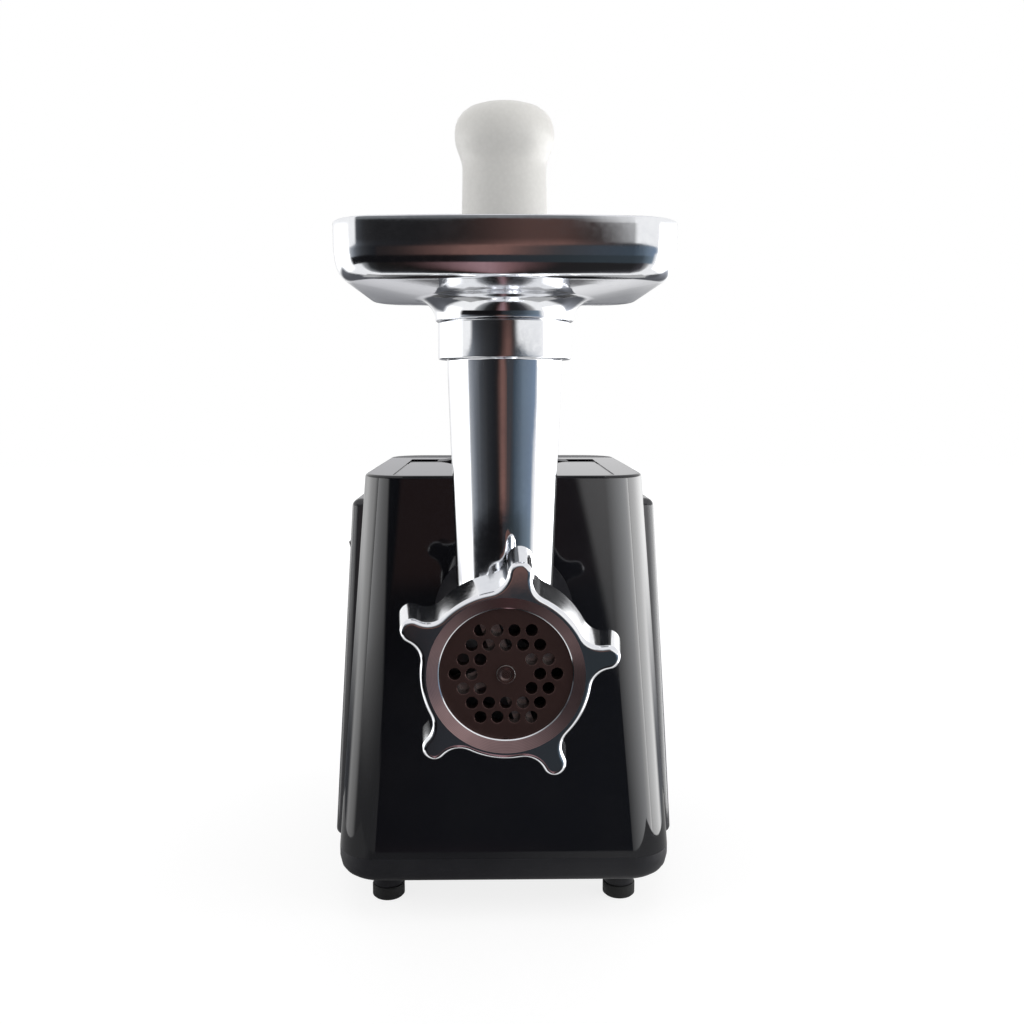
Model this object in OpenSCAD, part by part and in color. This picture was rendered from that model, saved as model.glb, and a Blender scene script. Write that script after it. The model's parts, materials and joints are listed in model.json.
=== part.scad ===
// Electric meat grinder with a removable die-cast head.
// Millimetres. +Z is up and the grinding head points to -Y. The origin lies on the
// surface that the feet stand on, in the middle of the whole machine's outline.

/* [Body] */
// Width of the body where it meets the base
body_bottom_w = 166; // [160:1:180]
// Width of the body at its top edge
body_top_w = 134; // [128:1:150]
// Depth of the body where it meets the base
body_bottom_d = 164; // [162:1:180]
// Depth of the body at its top edge
body_top_d = 157; // [155:1:170]
// Height of the body above the base
body_h = 188; // [180:1:205]
// Radius of the body's upright corners
corner_r = 20; // [14:1:24]
// Wall of the moulded shells
wall = 3; // [2.4:0.2:3.6]
// Depth behind the front face at which the rear cover starts
split_d = 132; // [128:1:136]
// Gap at the seams between moulded covers
seam = 0.3; // [0.2:0.05:0.5]

/* [Base] */
// Height of the base tray
base_h = 13.5; // [11:0.5:18]
// Radius of the rounded lower edge of the base
base_edge = 6.5; // [4:0.5:9]
// Height of the base above the table
leg_h = 19.5; // [16:0.5:26]
// Diameter of a leg
leg_d = 15.6; // [13:0.2:18]
// Diameter of a rubber foot
foot_d = 16.6; // [14:0.2:19]
// Height of a rubber foot
foot_h = 6.8; // [5:0.2:9]
// Distance from the middle plane to a leg
leg_x = 60; // [52:1:64]
// Distance from the front and rear faces to the legs
leg_inset = 30; // [26:1:36]

/* [Side panels] */
// Depth behind the front face at which a side panel starts
panel_start = 40; // [34:1:50]
// Depth behind the front face at which a side panel ends
panel_end = 128; // [122:1:130]
// Thickness of a side panel at its top
panel_top_t = 8.7; // [7:0.1:11]
// Thickness of a side panel at its bottom
panel_bottom_t = 5.4; // [5:0.1:8]
// Height of the panel's top edge below the body's top
panel_drop = 15; // [10:1:24]
// How far the panel reaches down past the body's lower edge
panel_skirt = 6.5; // [2:0.5:9]

/* [Top] */
// Width of the inset panel in the top
top_panel_w = 105; // [98:1:110]
// Depth behind the front face at which the inset panel starts
top_panel_start = 6; // [5:0.5:9]
// Depth behind the front face at which the inset panel ends
top_panel_end = 96; // [92:1:98]
// Depth of the recess that holds the inset panel
top_recess = 1.5; // [1:0.1:1.8]
// Width of the pocket behind the inset panel, from front to back
pocket_w = 20; // [18:1:24]
// Depth of the pocket
pocket_h = 5; // [4:0.5:7]
// Height of the finger gap under the carry handle
handle_gap = 27; // [25:1:34]
// Thickness of the carry handle's grip
handle_t = 11; // [9:0.5:14]
// Width of the carry handle's grip
handle_w = 26; // [22:1:30]
// Width of the handle's flared rear foot
handle_foot_w = 74; // [66:1:80]

/* [Grinding head] */
// Height of the barrel's axis above the body's lower edge
barrel_rise = 122; // [116:1:128]
// Distance from the body's front face to the ring nut's face
ring_reach = 105; // [100:1:112]
// Distance from the body's front face to the feed tube's axis
tube_reach = 48; // [44:1:52]
// Radius of the bore that the auger runs in
barrel_bore_r = 24.8; // [24.6:0.1:25.2]
// Outer radius of the barrel
barrel_r = 28; // [27.6:0.1:28.6]
// Outer radius of the barrel's threaded mouth
thread_r = 29; // [28.8:0.1:29.6]
// Outer radius of the feed tube at its foot
tube_foot_r = 20.3; // [19.8:0.1:21.5]
// Outer radius of the feed tube under the collar
tube_top_r = 23.65; // [23:0.05:24.5]
// Wall of the feed tube
tube_wall = 3.2; // [2.8:0.1:3.4]
// Height of the feed tube's top above the barrel's axis
tube_h = 133; // [128:1:145]
// Height of the collar round the tube's top
collar_h = 15; // [13:0.5:19]
// Outer radius of the collar
collar_r = 27.3; // [26.8:0.1:29]
// Radius of the round spigot that plugs into the body
spigot_r = 24; // [23:0.5:25]
// How far the spigot reaches into the body
spigot_l = 20; // [18:1:21]
// Angle that the head turns between its locked and its free position
twist = 40; // [34:1:46]

/* [Ring nut and cutting plate] */
// Outer radius of the ring nut
ring_r = 32.2; // [31.8:0.1:34]
// Length of the ring nut
ring_l = 24; // [20:0.5:25]
// Radius of the ring nut's opening
opening_r = 25; // [24:0.1:25.6]
// Number of lobes on the ring nut
lobes = 5; // [4:1:6]
// Distance from the axis to the tip of a lobe
lobe_r = 43.3; // [41:0.1:46]
// Radius of a lobe's rounded tip
lobe_tip_r = 4.6; // [4:0.1:5.4]
// Turn of the first lobe from the horizontal
lobe_turn = 82; // [0:1:90]
// Radius of the cutting plate
plate_r = 27; // [26.6:0.1:27.4]
// Thickness of the cutting plate
plate_t = 5; // [4:0.2:6]
// Diameter of a hole in the cutting plate
plate_hole_d = 4.7; // [3:0.1:5.2]
// Distance between neighbouring holes
plate_pitch = 6.4; // [6:0.1:6.8]

/* [Hopper and pusher] */
// Width of the hopper tray
tray_w = 126; // [118:1:150]
// Depth of the hopper tray from front to back
tray_l = 120; // [112:1:126]
// Height of the tray's rim above the collar
tray_h = 33; // [30:1:42]
// Corner radius of the tray
tray_corner_r = 18; // [12:1:24]
// How far the tray's front bows out
tray_bow = 2.5; // [1:0.5:5]
// Thickness of the tray's metal
tray_t = 1.6; // [1.2:0.1:2.2]
// Radius of the pusher's stem
pusher_r = 17.5; // [16.5:0.1:17.6]
// Radius of the pusher's knob
pusher_knob_r = 20.5; // [19.5:0.1:22]
// Height of the pusher's top above the tray's rim
pusher_rise = 53; // [45:1:70]
// Height of the pusher's lower end above the barrel's axis
pusher_foot = 55; // [52:1:70]

/* [Controls] */
// Distance of the power rocker below the body's top
rocker_drop = 50; // [42:1:62]
// Length of the power rocker
rocker_l = 19.7; // [17:0.1:22]
// Width of the power rocker
rocker_w = 12; // [10:0.5:14]
// Depth of both controls behind the front face
control_depth = 72; // [66:1:84]
// Tilt of the rocker each way
rocker_tilt = 8; // [6:1:10]
// Height of the reverse button above the body's lower edge
reverse_rise = 43; // [38:1:56]
// Radius of the reverse button
reverse_r = 5.3; // [4.5:0.1:6]
// Radius of the head's lock button
lock_r = 7; // [6:0.1:7.6]

/* [Gears] */
// Teeth of the motor's pinion
motor_teeth = 10; // [10:1:11]
// Teeth of the first gear
first_teeth = 50; // [48:1:52]
// Tooth module of the motor stage
first_module = 1; // [1:0.02:1.04]
// Teeth of the pinion on the first gear
first_pinion_teeth = 12; // [12:1:13]
// Teeth of the second gear
second_teeth = 42; // [40:1:43]
// Tooth module of the middle stage
second_module = 1.25; // [1.2:0.01:1.28]
// Teeth of the pinion on the second gear
second_pinion_teeth = 12; // [12:1:13]
// Teeth of the output gear
output_teeth = 48; // [46:1:49]
// Tooth module of the output stage
output_module = 1.5; // [1.45:0.01:1.55]
// Play between meshing teeth, at the pitch circle
backlash = 0.35; // [0.25:0.05:0.45]

/* [Motor] */
// Width of the motor's iron core
core_w = 64; // [60:1:68]
// Height of the motor's iron core
core_h = 54; // [52:1:58]
// Length of the motor's iron core
core_l = 34; // [30:1:36]
// Radius of the armature
armature_r = 16.5; // [15.5:0.1:17]
// Radius of the motor's shaft
shaft_r = 4; // [3.5:0.1:4.4]

/* [Hidden] */
$fn = 64;

gloss_black = [0.02, 0.02, 0.022];
matte_black = [0.07, 0.07, 0.075];
aluminium = [0.82, 0.82, 0.83];
steel = [0.6, 0.6, 0.62];
plate_steel = [0.3, 0.2, 0.18];
white_plastic = [0.86, 0.86, 0.84];
copper = [0.72, 0.35, 0.16];
brass = [0.78, 0.6, 0.25];
nylon = [0.85, 0.83, 0.76];
rubber = [0.05, 0.05, 0.05];
carbon = [0.12, 0.12, 0.12];

// Clearances: running between turning pieces, seated between pieces that stay together,
// part_gap between pieces of different bodies that pass each other.
running = 0.06;
seated = 0.03;
part_gap = 0.3;
cut = 1;

// Places
body_z = leg_h + base_h;
top_z = body_z + body_h;
gland_proud = 3;
front_reach = max(ring_reach, tube_reach + tray_l / 2 + tray_bow);
rear_reach = body_bottom_d + gland_proud;
face_y = (front_reach - rear_reach) / 2;
axis_z = body_z + barrel_rise;
tube_y = face_y - tube_reach;
tube_top_z = axis_z + tube_h;
rim_z = tube_top_z + tray_h;

// Half the body's width, and its depth, at a height
function half_w(z) = (body_bottom_w - (body_bottom_w - body_top_w) * (z - body_z) / body_h) / 2;
function depth_at(z) = body_bottom_d - (body_bottom_d - body_top_d) * (z - body_z) / body_h;
deepest = max(body_bottom_d, body_top_d);
shallowest = min(body_bottom_d, body_top_d);

// ---- Helpers -------------------------------------------------------------------------

// A flat profile in X and Z, extruded between two depths behind the front face
module between(d0, d1) {
    translate([0, face_y + d1, 0])
        rotate([90, 0, 0])
            linear_extrude(d1 - d0)
                children();
}

// A round bar along Y between two depths
module bar(r, d0, d1, x = 0, z = axis_z) {
    between(d0, d1)
        translate([x, z])
            circle(r);
}

// A pipe along Y between two depths
module pipe(r, bore, d0, d1, x = 0, z = axis_z) {
    between(d0, d1)
        translate([x, z])
            difference() {
                circle(r);
                circle(bore);
            }
}

// A block given by its limits in X, depth and Z
module block(x0, x1, d0, d1, z0, z1) {
    translate([x0, face_y + d0, z0])
        cube([x1 - x0, d1 - d0, z1 - z0]);
}

// A rectangle with true round corners, centred
module rounded(w, h, r) {
    square([w, h - 2 * r], center = true);
    square([w - 2 * r, h], center = true);
    for (x = [-1, 1], y = [-1, 1])
        translate([x * (w / 2 - r), y * (h / 2 - r)])
            circle(r);
}

// One thin level of the body's tapering outline
module body_level(z, inset) {
    translate([0, face_y + depth_at(z) / 2, z])
        linear_extrude(0.01)
            rounded(2 * (half_w(z) - inset), depth_at(z) - 2 * inset, corner_r - inset);
}

// The body's tapering form between two heights, drawn in by an inset
module body_form(inset, z0, z1) {
    hull() {
        body_level(z0, inset);
        body_level(z1 - 0.01, inset);
    }
}

// A spring with square wire, wound along Z; the wire fills wire_span of each turn
module coil_spring(r, wire, length, turns, wire_span = 170) {
    linear_extrude(length, twist = -360 * turns, slices = 10 * turns, segments = 1)
        arc_band(r - wire, r, wire_span, 3);
}

// A band of a ring that spans an angle
module arc_band(r0, r1, span, steps) {
    polygon([
        for (i = [0 : steps]) r0 * [cos(span * i / steps), sin(span * i / steps)],
        for (i = [steps : -1 : 0]) r1 * [cos(span * i / steps), sin(span * i / steps)]
    ]);
}

// ---- Gear teeth ----------------------------------------------------------------------

pressure = 20;
function involute(a) = tan(a) * 180 / PI - a;
function tooth_half(teeth, m, r) =
    let (base = m * teeth / 2 * cos(pressure))
    let (a = r > base ? acos(base / r) : 0)
    90 / teeth + involute(pressure) - involute(a) - backlash / 2 / (m * teeth / 2) * 180 / PI;

// Outline of a spur gear; tooth 0 points at the angle turn
module gear_outline(teeth, m, turn, tip = 0.95) {
    pitch_r = m * teeth / 2;
    root_r = pitch_r - 1.3 * m;
    low_r = max(root_r + 0.3 * m, pitch_r * cos(pressure));
    top_r = pitch_r + tip * m;
    radii = [root_r, low_r, (low_r + top_r) / 2, top_r];
    halves = [
        tooth_half(teeth, m, low_r) * (teeth < 20 ? 0.8 : 1.05),
        for (i = [1 : 3]) tooth_half(teeth, m, radii[i])
    ];
    polygon([
        for (t = [0 : teeth - 1])
            for (i = [0 : 7])
                let (k = i < 4 ? i : 7 - i, side = i < 4 ? -1 : 1)
                let (a = turn + 360 * t / teeth + side * halves[k])
                radii[k] * [cos(a), sin(a)]
    ]);
}

// Turn of a gear that meshes with another one, seen along the line between their centres
function mesh_turn(line, teeth_a, turn_a, teeth_b) =
    line + 180 - (0.5 - (line - turn_a) * teeth_a / 360) * 360 / teeth_b;

// Gear train: output, second, first, motor, each placed from the one before
function step_from(p, distance, angle) = p + distance * [cos(angle), sin(angle)];
second_line = 235;
first_line = 290;
motor_line = 340;
output_at = [0, axis_z];
second_at = step_from(output_at, output_module * (output_teeth + second_pinion_teeth) / 2, second_line);
first_at = step_from(second_at, second_module * (second_teeth + first_pinion_teeth) / 2, first_line);
motor_at = step_from(first_at, first_module * (first_teeth + motor_teeth) / 2, motor_line);

output_turn = 0;
second_pinion_turn = mesh_turn(second_line, output_teeth, output_turn, second_pinion_teeth);
second_turn = 0;
first_pinion_turn = mesh_turn(first_line, second_teeth, second_turn, first_pinion_teeth);
first_turn = 0;
motor_turn = mesh_turn(motor_line, first_teeth, first_turn, motor_teeth);

// Depths of the gearbox, behind the front face
gearbox_front = 24;
gearbox_plate_t = 4;
output_gear_d = [30, 40];
second_gear_d = [41, 47];
first_gear_d = [48, 54];
gearbox_rear = 57;
pin_r = 3;
hub_r = 13;
output_bush_r = hub_r + running + 3;
output_stub_r = 6;

// ---- Covers --------------------------------------------------------------------------

base_screw_r = 2;
base_boss_r = 5;
base_boss_h = 26;
rib_end = half_w(body_z + base_boss_h) - wall / 2;
rib_t = 2;
screw_x = 42;
top_screw_z = top_z - wall - 4;
low_screw_z = body_z + 8;
cover_boss_r = 5;
cover_screw_r = 1.8;
socket_r = spigot_r + 5.5;
socket_flange_r = spigot_r + 9;
socket_proud = 2;
lock_at = [24, axis_z - 36];
rocker_z = top_z - rocker_drop;
reverse_z = body_z + reverse_rise;
pocket_start = top_panel_end + 1;
pocket_end = pocket_start + pocket_w;
panel_low_z = body_z - panel_skirt;
panel_high_z = top_z - panel_drop;
panel_h = panel_high_z - panel_low_z;
function panel_half(z) =
    half_w(z) + panel_bottom_t + (panel_top_t - panel_bottom_t) * (z - panel_low_z) / panel_h;
leg_places = [
    for (x = [-1, 1], d = [leg_inset, body_bottom_d - leg_inset])
        [x * leg_x, face_y + d]
];
// Does a leg stand under the housing shell, and not under the rear cover?
function in_shell(p) = p[1] + base_boss_r < face_y + split_d;

module housing_shell() {
    color(gloss_black)
    difference() {
        union() {
            difference() {
                body_form(0, body_z, top_z);
                body_form(wall, body_z - cut, top_z - wall);
            }
            // pocket behind the inset panel
            block(-top_panel_w / 2 - wall, top_panel_w / 2 + wall, pocket_start - wall, pocket_end + wall,
                top_z - pocket_h - wall, top_z - wall / 2);
            // bosses for the screws of the base, tied to the side walls by ribs
            for (p = leg_places)
                if (in_shell(p)) {
                    translate([p[0], p[1], body_z])
                        cylinder(r = base_boss_r, h = base_boss_h);
                    translate([min(p[0], sign(p[0]) * rib_end), p[1] - rib_t / 2, body_z + 1])
                        cube([rib_end - abs(p[0]), rib_t, base_boss_h - 5]);
                }
            // bosses for the upper screws of the rear cover
            for (x = [-1, 1])
                bar(cover_boss_r, split_d - 16, split_d, x * screw_x, top_screw_z);
        }
        // open rear, closed by the rear cover
        block(-body_bottom_w, body_bottom_w, split_d, deepest + cut, 0, top_z + cut);
        bar(socket_r + seated, -cut, wall + cut);
        bar(lock_r + part_gap, -cut, wall + cut, lock_at[0], lock_at[1]);
        // recess for the inset panel
        block(-top_panel_w / 2, top_panel_w / 2, top_panel_start, top_panel_end,
            top_z - top_recess, top_z + cut);
        block(-top_panel_w / 2, top_panel_w / 2, pocket_start, pocket_end, top_z - pocket_h, top_z + cut);
        handle_screw_holes();
        for (p = leg_places)
            translate([p[0], p[1], body_z - cut])
                cylinder(r = base_screw_r + seated, h = base_boss_h - 4);
        for (x = [-1, 1])
            bar(cover_screw_r + seated, split_d - 13, split_d + cut, x * screw_x, top_screw_z);
        control_holes(bezel_w);
    }
}

// Openings in the left wall and panel for the rocker and the reverse button
module control_holes(margin) {
    block(-body_bottom_w, -half_w(top_z) + 2 * wall,
        control_depth - rocker_w / 2 - margin, control_depth + rocker_w / 2 + margin,
        rocker_z - rocker_l / 2 - margin, rocker_z + rocker_l / 2 + margin);
    translate([-body_bottom_w, face_y + control_depth, reverse_z])
        rotate([0, 90, 0])
            cylinder(r = reverse_r + part_gap, h = body_bottom_w - half_w(reverse_z) + 2 * wall);
}

vent_rows = 9;
vent_pitch = 7;
vent_h = 3;
vent_w = 34;
module rear_cover() {
    start = split_d + seam;
    color(matte_black)
    difference() {
        union() {
            difference() {
                body_form(0, body_z, top_z);
                body_form(wall, body_z - cut, top_z - wall);
            }
            for (x = [-1, 1]) {
                bar(cover_boss_r, start, depth_at(top_screw_z) - 1.5, x * screw_x, top_screw_z);
                bar(cover_boss_r, start, depth_at(low_screw_z) - 1.5, x * screw_x, low_screw_z);
            }
        }
        block(-body_bottom_w, body_bottom_w, -cut, start, 0, top_z + cut);
        for (x = [-1, 1], z = [top_screw_z, low_screw_z]) {
            bar(cover_screw_r + 0.2, start - cut, deepest, x * screw_x, z);
            bar(cover_boss_r - 1.4, start + 6, deepest + cut, x * screw_x, z);
        }
        // two columns of cooling slots
        for (x = [-1, 1], i = [0 : vent_rows - 1])
            between(shallowest - wall - 4, deepest + cut)
                translate([x * (vent_w / 2 + 3), body_z + 34 + i * vent_pitch])
                    rounded(vent_w, vent_h, vent_h / 2 - 0.05);
        bar(gland_r + seated, shallowest - 14, deepest + cut, 0, gland_z);
    }
}

module cover_screws() {
    color(steel)
    for (x = [-1, 1], z = [top_screw_z, low_screw_z])
        union() {
            bar(cover_screw_r, split_d - 12, split_d + 6.3, x * screw_x, z);
            difference() {
                bar(cover_boss_r - 1.6, split_d + 6.3 + seated, split_d + 8.6, x * screw_x, z);
                block(x * screw_x - 2.2, x * screw_x + 2.2, split_d + 7.6, split_d + 9, z - 0.4, z + 0.4);
                block(x * screw_x - 0.4, x * screw_x + 0.4, split_d + 7.6, split_d + 9, z - 2.2, z + 2.2);
            }
            bar(cover_screw_r, split_d + 6.2, split_d + 6.5, x * screw_x, z);
        }
}

// The base is drawn in towards the table along a quarter of an ellipse
module base_level(share, inset = 0) {
    z = leg_h + base_h * share;
    draw_in = base_edge * (1 - sqrt(1 - pow(1 - min(1, share / 0.65), 2)));
    translate([0, face_y + body_bottom_d / 2, z])
        linear_extrude(0.01)
            rounded(body_bottom_w - 2 * (draw_in + inset), body_bottom_d - 2 * (draw_in + inset),
                corner_r - draw_in / 2 - inset);
}

base_floor = 3;
cradle_w = 30;
module base_tray() {
    color(matte_black)
    difference() {
        union() {
            difference() {
                hull()
                    for (share = [0, 0.06, 0.16, 0.32, 0.65, 0.998])
                        base_level(share);
                hull() {
                    translate([0, 0, base_floor])
                        base_level(0.16, wall);
                    translate([0, 0, 2])
                        base_level(0.998, wall);
                }
            }
            // pillars round the base screws
            for (p = leg_places)
                translate([p[0], p[1], leg_h + 1])
                    cylinder(r = base_boss_r, h = base_h - 1 - seated);
            for (x = [-1, 1]) {
                // posts for the lower screws of the rear cover
                block(x * screw_x - 6, x * screw_x + 6, split_d - 16, split_d, leg_h + 1, low_screw_z + 5);
            }
            // cradle ribs under the motor
            for (d = [stator_d[0] + 3, stator_d[1] - 6])
                block(motor_at[0] - cradle_w / 2, motor_at[0] + cradle_w / 2, d, d + 3,
                    leg_h + 1, motor_at[1] - core_h / 2 - seated);
        }
        for (p = leg_places) {
            translate([p[0], p[1], leg_h - cut])
                cylinder(r = base_screw_r + 0.2, h = base_h + 2 * cut);
            translate([p[0], p[1], leg_h - cut])
                cylinder(r = leg_d / 2 - 2, h = cut + 2);
        }
        for (x = [-1, 1])
            bar(cover_screw_r + seated, split_d - 13, split_d + cut, x * screw_x, low_screw_z);
        // air slots in the floor
        for (i = [-4 : 4])
            translate([i * 8, face_y + body_bottom_d / 2 + 30, leg_h - cut])
                linear_extrude(base_floor + 2 * cut)
                    rounded(3, 26, 1.45);
    }
}

// Each leg is a cup that stands under the base round a screw
module legs() {
    color(matte_black)
    for (p = leg_places)
        translate([p[0], p[1], 0])
            difference() {
                union() {
                    translate([0, 0, foot_h + seated])
                        cylinder(d = leg_d, h = leg_h - foot_h - 2 * seated);
                    translate([0, 0, leg_h - cut])
                        cylinder(r = leg_d / 2 - 2 - seated, h = cut + 2 - seated);
                }
                translate([0, 0, foot_h])
                    cylinder(r = leg_d / 2 - 2.4, h = leg_h - foot_h - 3);
                cylinder(r = base_screw_r + 0.2, h = leg_h + 3);
            }
}

// Rubber feet with a plug that fits up into the leg
module rubber_feet() {
    color(rubber)
    for (p = leg_places)
        translate([p[0], p[1], 0])
            rotate_extrude()
                polygon([
                    [0, 0], [foot_d / 2 - 0.8, 0], [foot_d / 2, 0.8], [foot_d / 2, foot_h - 0.6],
                    [foot_d / 2 - 0.6, foot_h], [leg_d / 2 - 2.6, foot_h], [leg_d / 2 - 2.6, foot_h + 4],
                    [leg_d / 2 - 3.4, foot_h + 4.8], [0, foot_h + 4.8]
                ]);
}

module base_screws() {
    head_h = 2.4;
    head_z = leg_h - 3 - head_h - seated;
    // screws under the shell reach up into its bosses
    function grip(p) = in_shell(p) ? 18 : -1;
    color(steel)
    for (p = leg_places)
        translate([p[0], p[1], head_z])
            difference() {
                union() {
                    cylinder(r = base_screw_r * 1.9, h = head_h);
                    cylinder(r = base_screw_r, h = head_h + 3 + base_h + grip(p));
                }
                translate([-0.5, -2.6, -cut])
                    cube([1, 5.2, cut + 1.2]);
                translate([-2.6, -0.5, -cut])
                    cube([5.2, 1, cut + 1.2]);
            }
}

// ---- Top -----------------------------------------------------------------------------

handle_front_d = [16, 30];
handle_front_w = 38;
groove = 0.8;
foot_seat = pocket_h - seated;
handle_screw_r = 1.8;

module top_panel() {
    color(gloss_black)
    difference() {
        between_heights(top_z - top_recess + seated, top_z - 0.1)
            translate([0, face_y + (top_panel_start + top_panel_end) / 2])
                rounded(top_panel_w - 2 * groove, top_panel_end - top_panel_start - 2 * groove, 4);
        block(-handle_front_w / 2 - seated, handle_front_w / 2 + seated, handle_front_d[0] - seated,
            handle_front_d[1] + seated, top_z - 2 * top_recess, top_z + cut);
    }
}

// A flat outline in X and Y, extruded between two heights
module between_heights(z0, z1) {
    translate([0, 0, z0])
        linear_extrude(z1 - z0)
            children();
}

handle_screw_depths = [(handle_front_d[0] + handle_front_d[1]) / 2, (pocket_start + pocket_end) / 2];
module handle_screw_holes() {
    for (d = handle_screw_depths)
        translate([0, face_y + d, top_z - 3 * pocket_h])
            cylinder(r = handle_screw_r + seated, h = 3 * pocket_h + cut);
}

// A bridge from front to back: side view cut by the front views of its two feet
module carry_handle() {
    high = handle_gap + handle_t;
    rear_d = [pocket_start + seated, pocket_end - 1];
    start = handle_front_d[0];
    length = rear_d[1] - start;
    middle_d = (handle_front_d[1] + rear_d[0]) / 2;
    // the outlines start this far below the top, where they are cut off
    root = 40;
    color(matte_black)
    difference() {
        union() {
            intersection() {
                translate([-handle_foot_w / 2, 0, 0])
                    rotate([90, 0, 90])
                        linear_extrude(handle_foot_w)
                            difference() {
                                translate([face_y + start + length / 2, top_z + (high - root) / 2])
                                    rounded(length, high + root, 18);
                                translate([face_y + middle_d, top_z + (handle_gap - root) / 2])
                                    rounded(rear_d[0] - handle_front_d[1], handle_gap + root, 14);
                                translate([face_y, top_z - root - cut])
                                    square([body_top_d, root + cut - top_recess + seated]);
                            }
                between(0, body_bottom_d)
                    flared_foot(handle_foot_w, high);
            }
            // tongue of the rear foot, down in the pocket
            block(-handle_foot_w / 2, handle_foot_w / 2, rear_d[0], rear_d[1], top_z - foot_seat,
                top_z - top_recess + 2 * seated);
        }
        // the front foot stays narrow
        for (x = [-1, 1])
            block(x * (handle_front_w / 2 + 20) - 20, x * (handle_front_w / 2 + 20) + 20,
                0, middle_d, 0, top_z + high);
        for (d = handle_screw_depths)
            translate([0, face_y + d, 0])
                cylinder(r = handle_screw_r + seated, h = top_z + 10);
    }
}

// Front view of a foot that widens downwards along two arcs
module flared_foot(w, high) {
    flare_r = (w - handle_w) / 2;
    translate([0, top_z + high / 2 - 20])
        rounded(handle_w, high + 40, 9);
    difference() {
        translate([-w / 2, top_z - 20])
            square([w, 20 + flare_r * 0.8]);
        for (x = [-1, 1])
            translate([x * (handle_w / 2 + flare_r), top_z + 0.8 * flare_r])
                scale([1, 0.8])
                    circle(flare_r - 0.01);
        for (x = [-1, 1])
            translate([x * (w / 2 + 10 - 0.001) - 10, top_z + 1])
                square([20, flare_r]);
    }
}

// ---- Side panels ---------------------------------------------------------------------

panel_edge = 4;
module side_plate() {
    color(matte_black)
    difference() {
        hull()
            for (z = [panel_low_z, panel_high_z], d = [panel_start, panel_end], inner = [0, 1])
                translate([
                    panel_half(z) - panel_edge - 8 * inner,
                    face_y + (d == panel_start ? d + panel_edge : d - panel_edge),
                    z == panel_low_z ? z + panel_edge : z - panel_edge
                ])
                    sphere(panel_edge, $fn = 16);
        body_form(-seated, body_z - 2 * base_h, top_z);
        translate([0, 0, -base_h])
            block(0, body_bottom_w / 2 + seated, 0, body_bottom_d, leg_h, body_z + base_h);
    }
}

module side_panel_right() {
    side_plate();
}

module side_panel_left() {
    difference() {
        mirror([1, 0, 0])
            side_plate();
        color(matte_black)
            control_holes(bezel_w);
    }
}

rocker_face = -panel_half(rocker_z);
rocker_pivot = rocker_face + 1.5;
rocker_pin_r = 1.4;
bezel_w = 2;
bezel_l = 9;
bezel_proud = 0.7;
module rocker_bezel() {
    frame = bezel_w - seated;
    color(gloss_black)
    difference() {
        block(rocker_face - bezel_proud, rocker_face + bezel_l,
            control_depth - rocker_w / 2 - frame, control_depth + rocker_w / 2 + frame,
            rocker_z - rocker_l / 2 - frame, rocker_z + rocker_l / 2 + frame);
        block(rocker_face - bezel_proud - cut, rocker_face + bezel_l + cut,
            control_depth - rocker_w / 2 - part_gap, control_depth + rocker_w / 2 + part_gap,
            rocker_z - rocker_l / 2 - 0.7, rocker_z + rocker_l / 2 + 0.7);
        bar(rocker_pin_r + running, control_depth - rocker_w / 2 - 1.3, control_depth + rocker_w / 2 + 1.3,
            rocker_pivot, rocker_z);
    }
}

// Rests in its off position, with the lower end pressed in
module power_rocker() {
    half = rocker_l / 2;
    color(gloss_black)
    union() {
        between(control_depth - rocker_w / 2, control_depth + rocker_w / 2)
            translate([rocker_pivot, rocker_z])
                rotate(rocker_tilt)
                    translate([rocker_face - rocker_pivot, 0])
                        polygon([
                            [-2, -half], [-1.2, 0], [-2, half], [1, half], [4.2, 3], [4.2, -3], [1, -half]
                        ]);
        bar(rocker_pin_r, control_depth - rocker_w / 2 - 1.1, control_depth + rocker_w / 2 + 1.1,
            rocker_pivot, rocker_z);
    }
}

// Switch housing behind the rocker, with three terminals
switch_l = 12;
terminal_l = 7;
module switch_body() {
    back = rocker_face + bezel_l + seated;
    color(matte_black)
    union() {
        block(back, back + switch_l, control_depth - rocker_w / 2, control_depth + rocker_w / 2,
            rocker_z - rocker_l / 2, rocker_z + rocker_l / 2);
        for (i = [-1 : 1])
            block(back + switch_l - cut, back + switch_l + terminal_l,
                control_depth - 2.4, control_depth + 2.4,
                rocker_z + i * rocker_l * 0.3 - 0.4, rocker_z + i * rocker_l * 0.3 + 0.4);
    }
}

reverse_face = -panel_half(reverse_z);
reverse_travel = 0.8;
reverse_back = reverse_face + 13;
module reverse_button() {
    color(gloss_black)
    translate([reverse_face - 1, face_y + control_depth, reverse_z])
        rotate([0, 90, 0])
            rotate_extrude()
                polygon([
                    [0, 0], [reverse_r - 0.8, 0], [reverse_r, 0.5],
                    [reverse_r, reverse_back - reverse_face - 1], [0, reverse_back - reverse_face - 1]
                ]);
}

module reverse_switch() {
    front = reverse_back + reverse_travel - 2 + part_gap;
    color(matte_black)
    union() {
        block(front, front + 7, control_depth - 8, control_depth + 8, reverse_z - 6, reverse_z + 6);
        for (d = [-5, 0, 5])
            block(front + 6, front + 12, control_depth + d - 0.4, control_depth + d + 0.4,
                reverse_z - 2, reverse_z + 2);
        // bracket to the shell's wall
        block(-half_w(reverse_z) + wall + 0.6, front + 3, control_depth + 8 - seated, control_depth + 10,
            reverse_z - 5, reverse_z + 5);
    }
}

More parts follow.
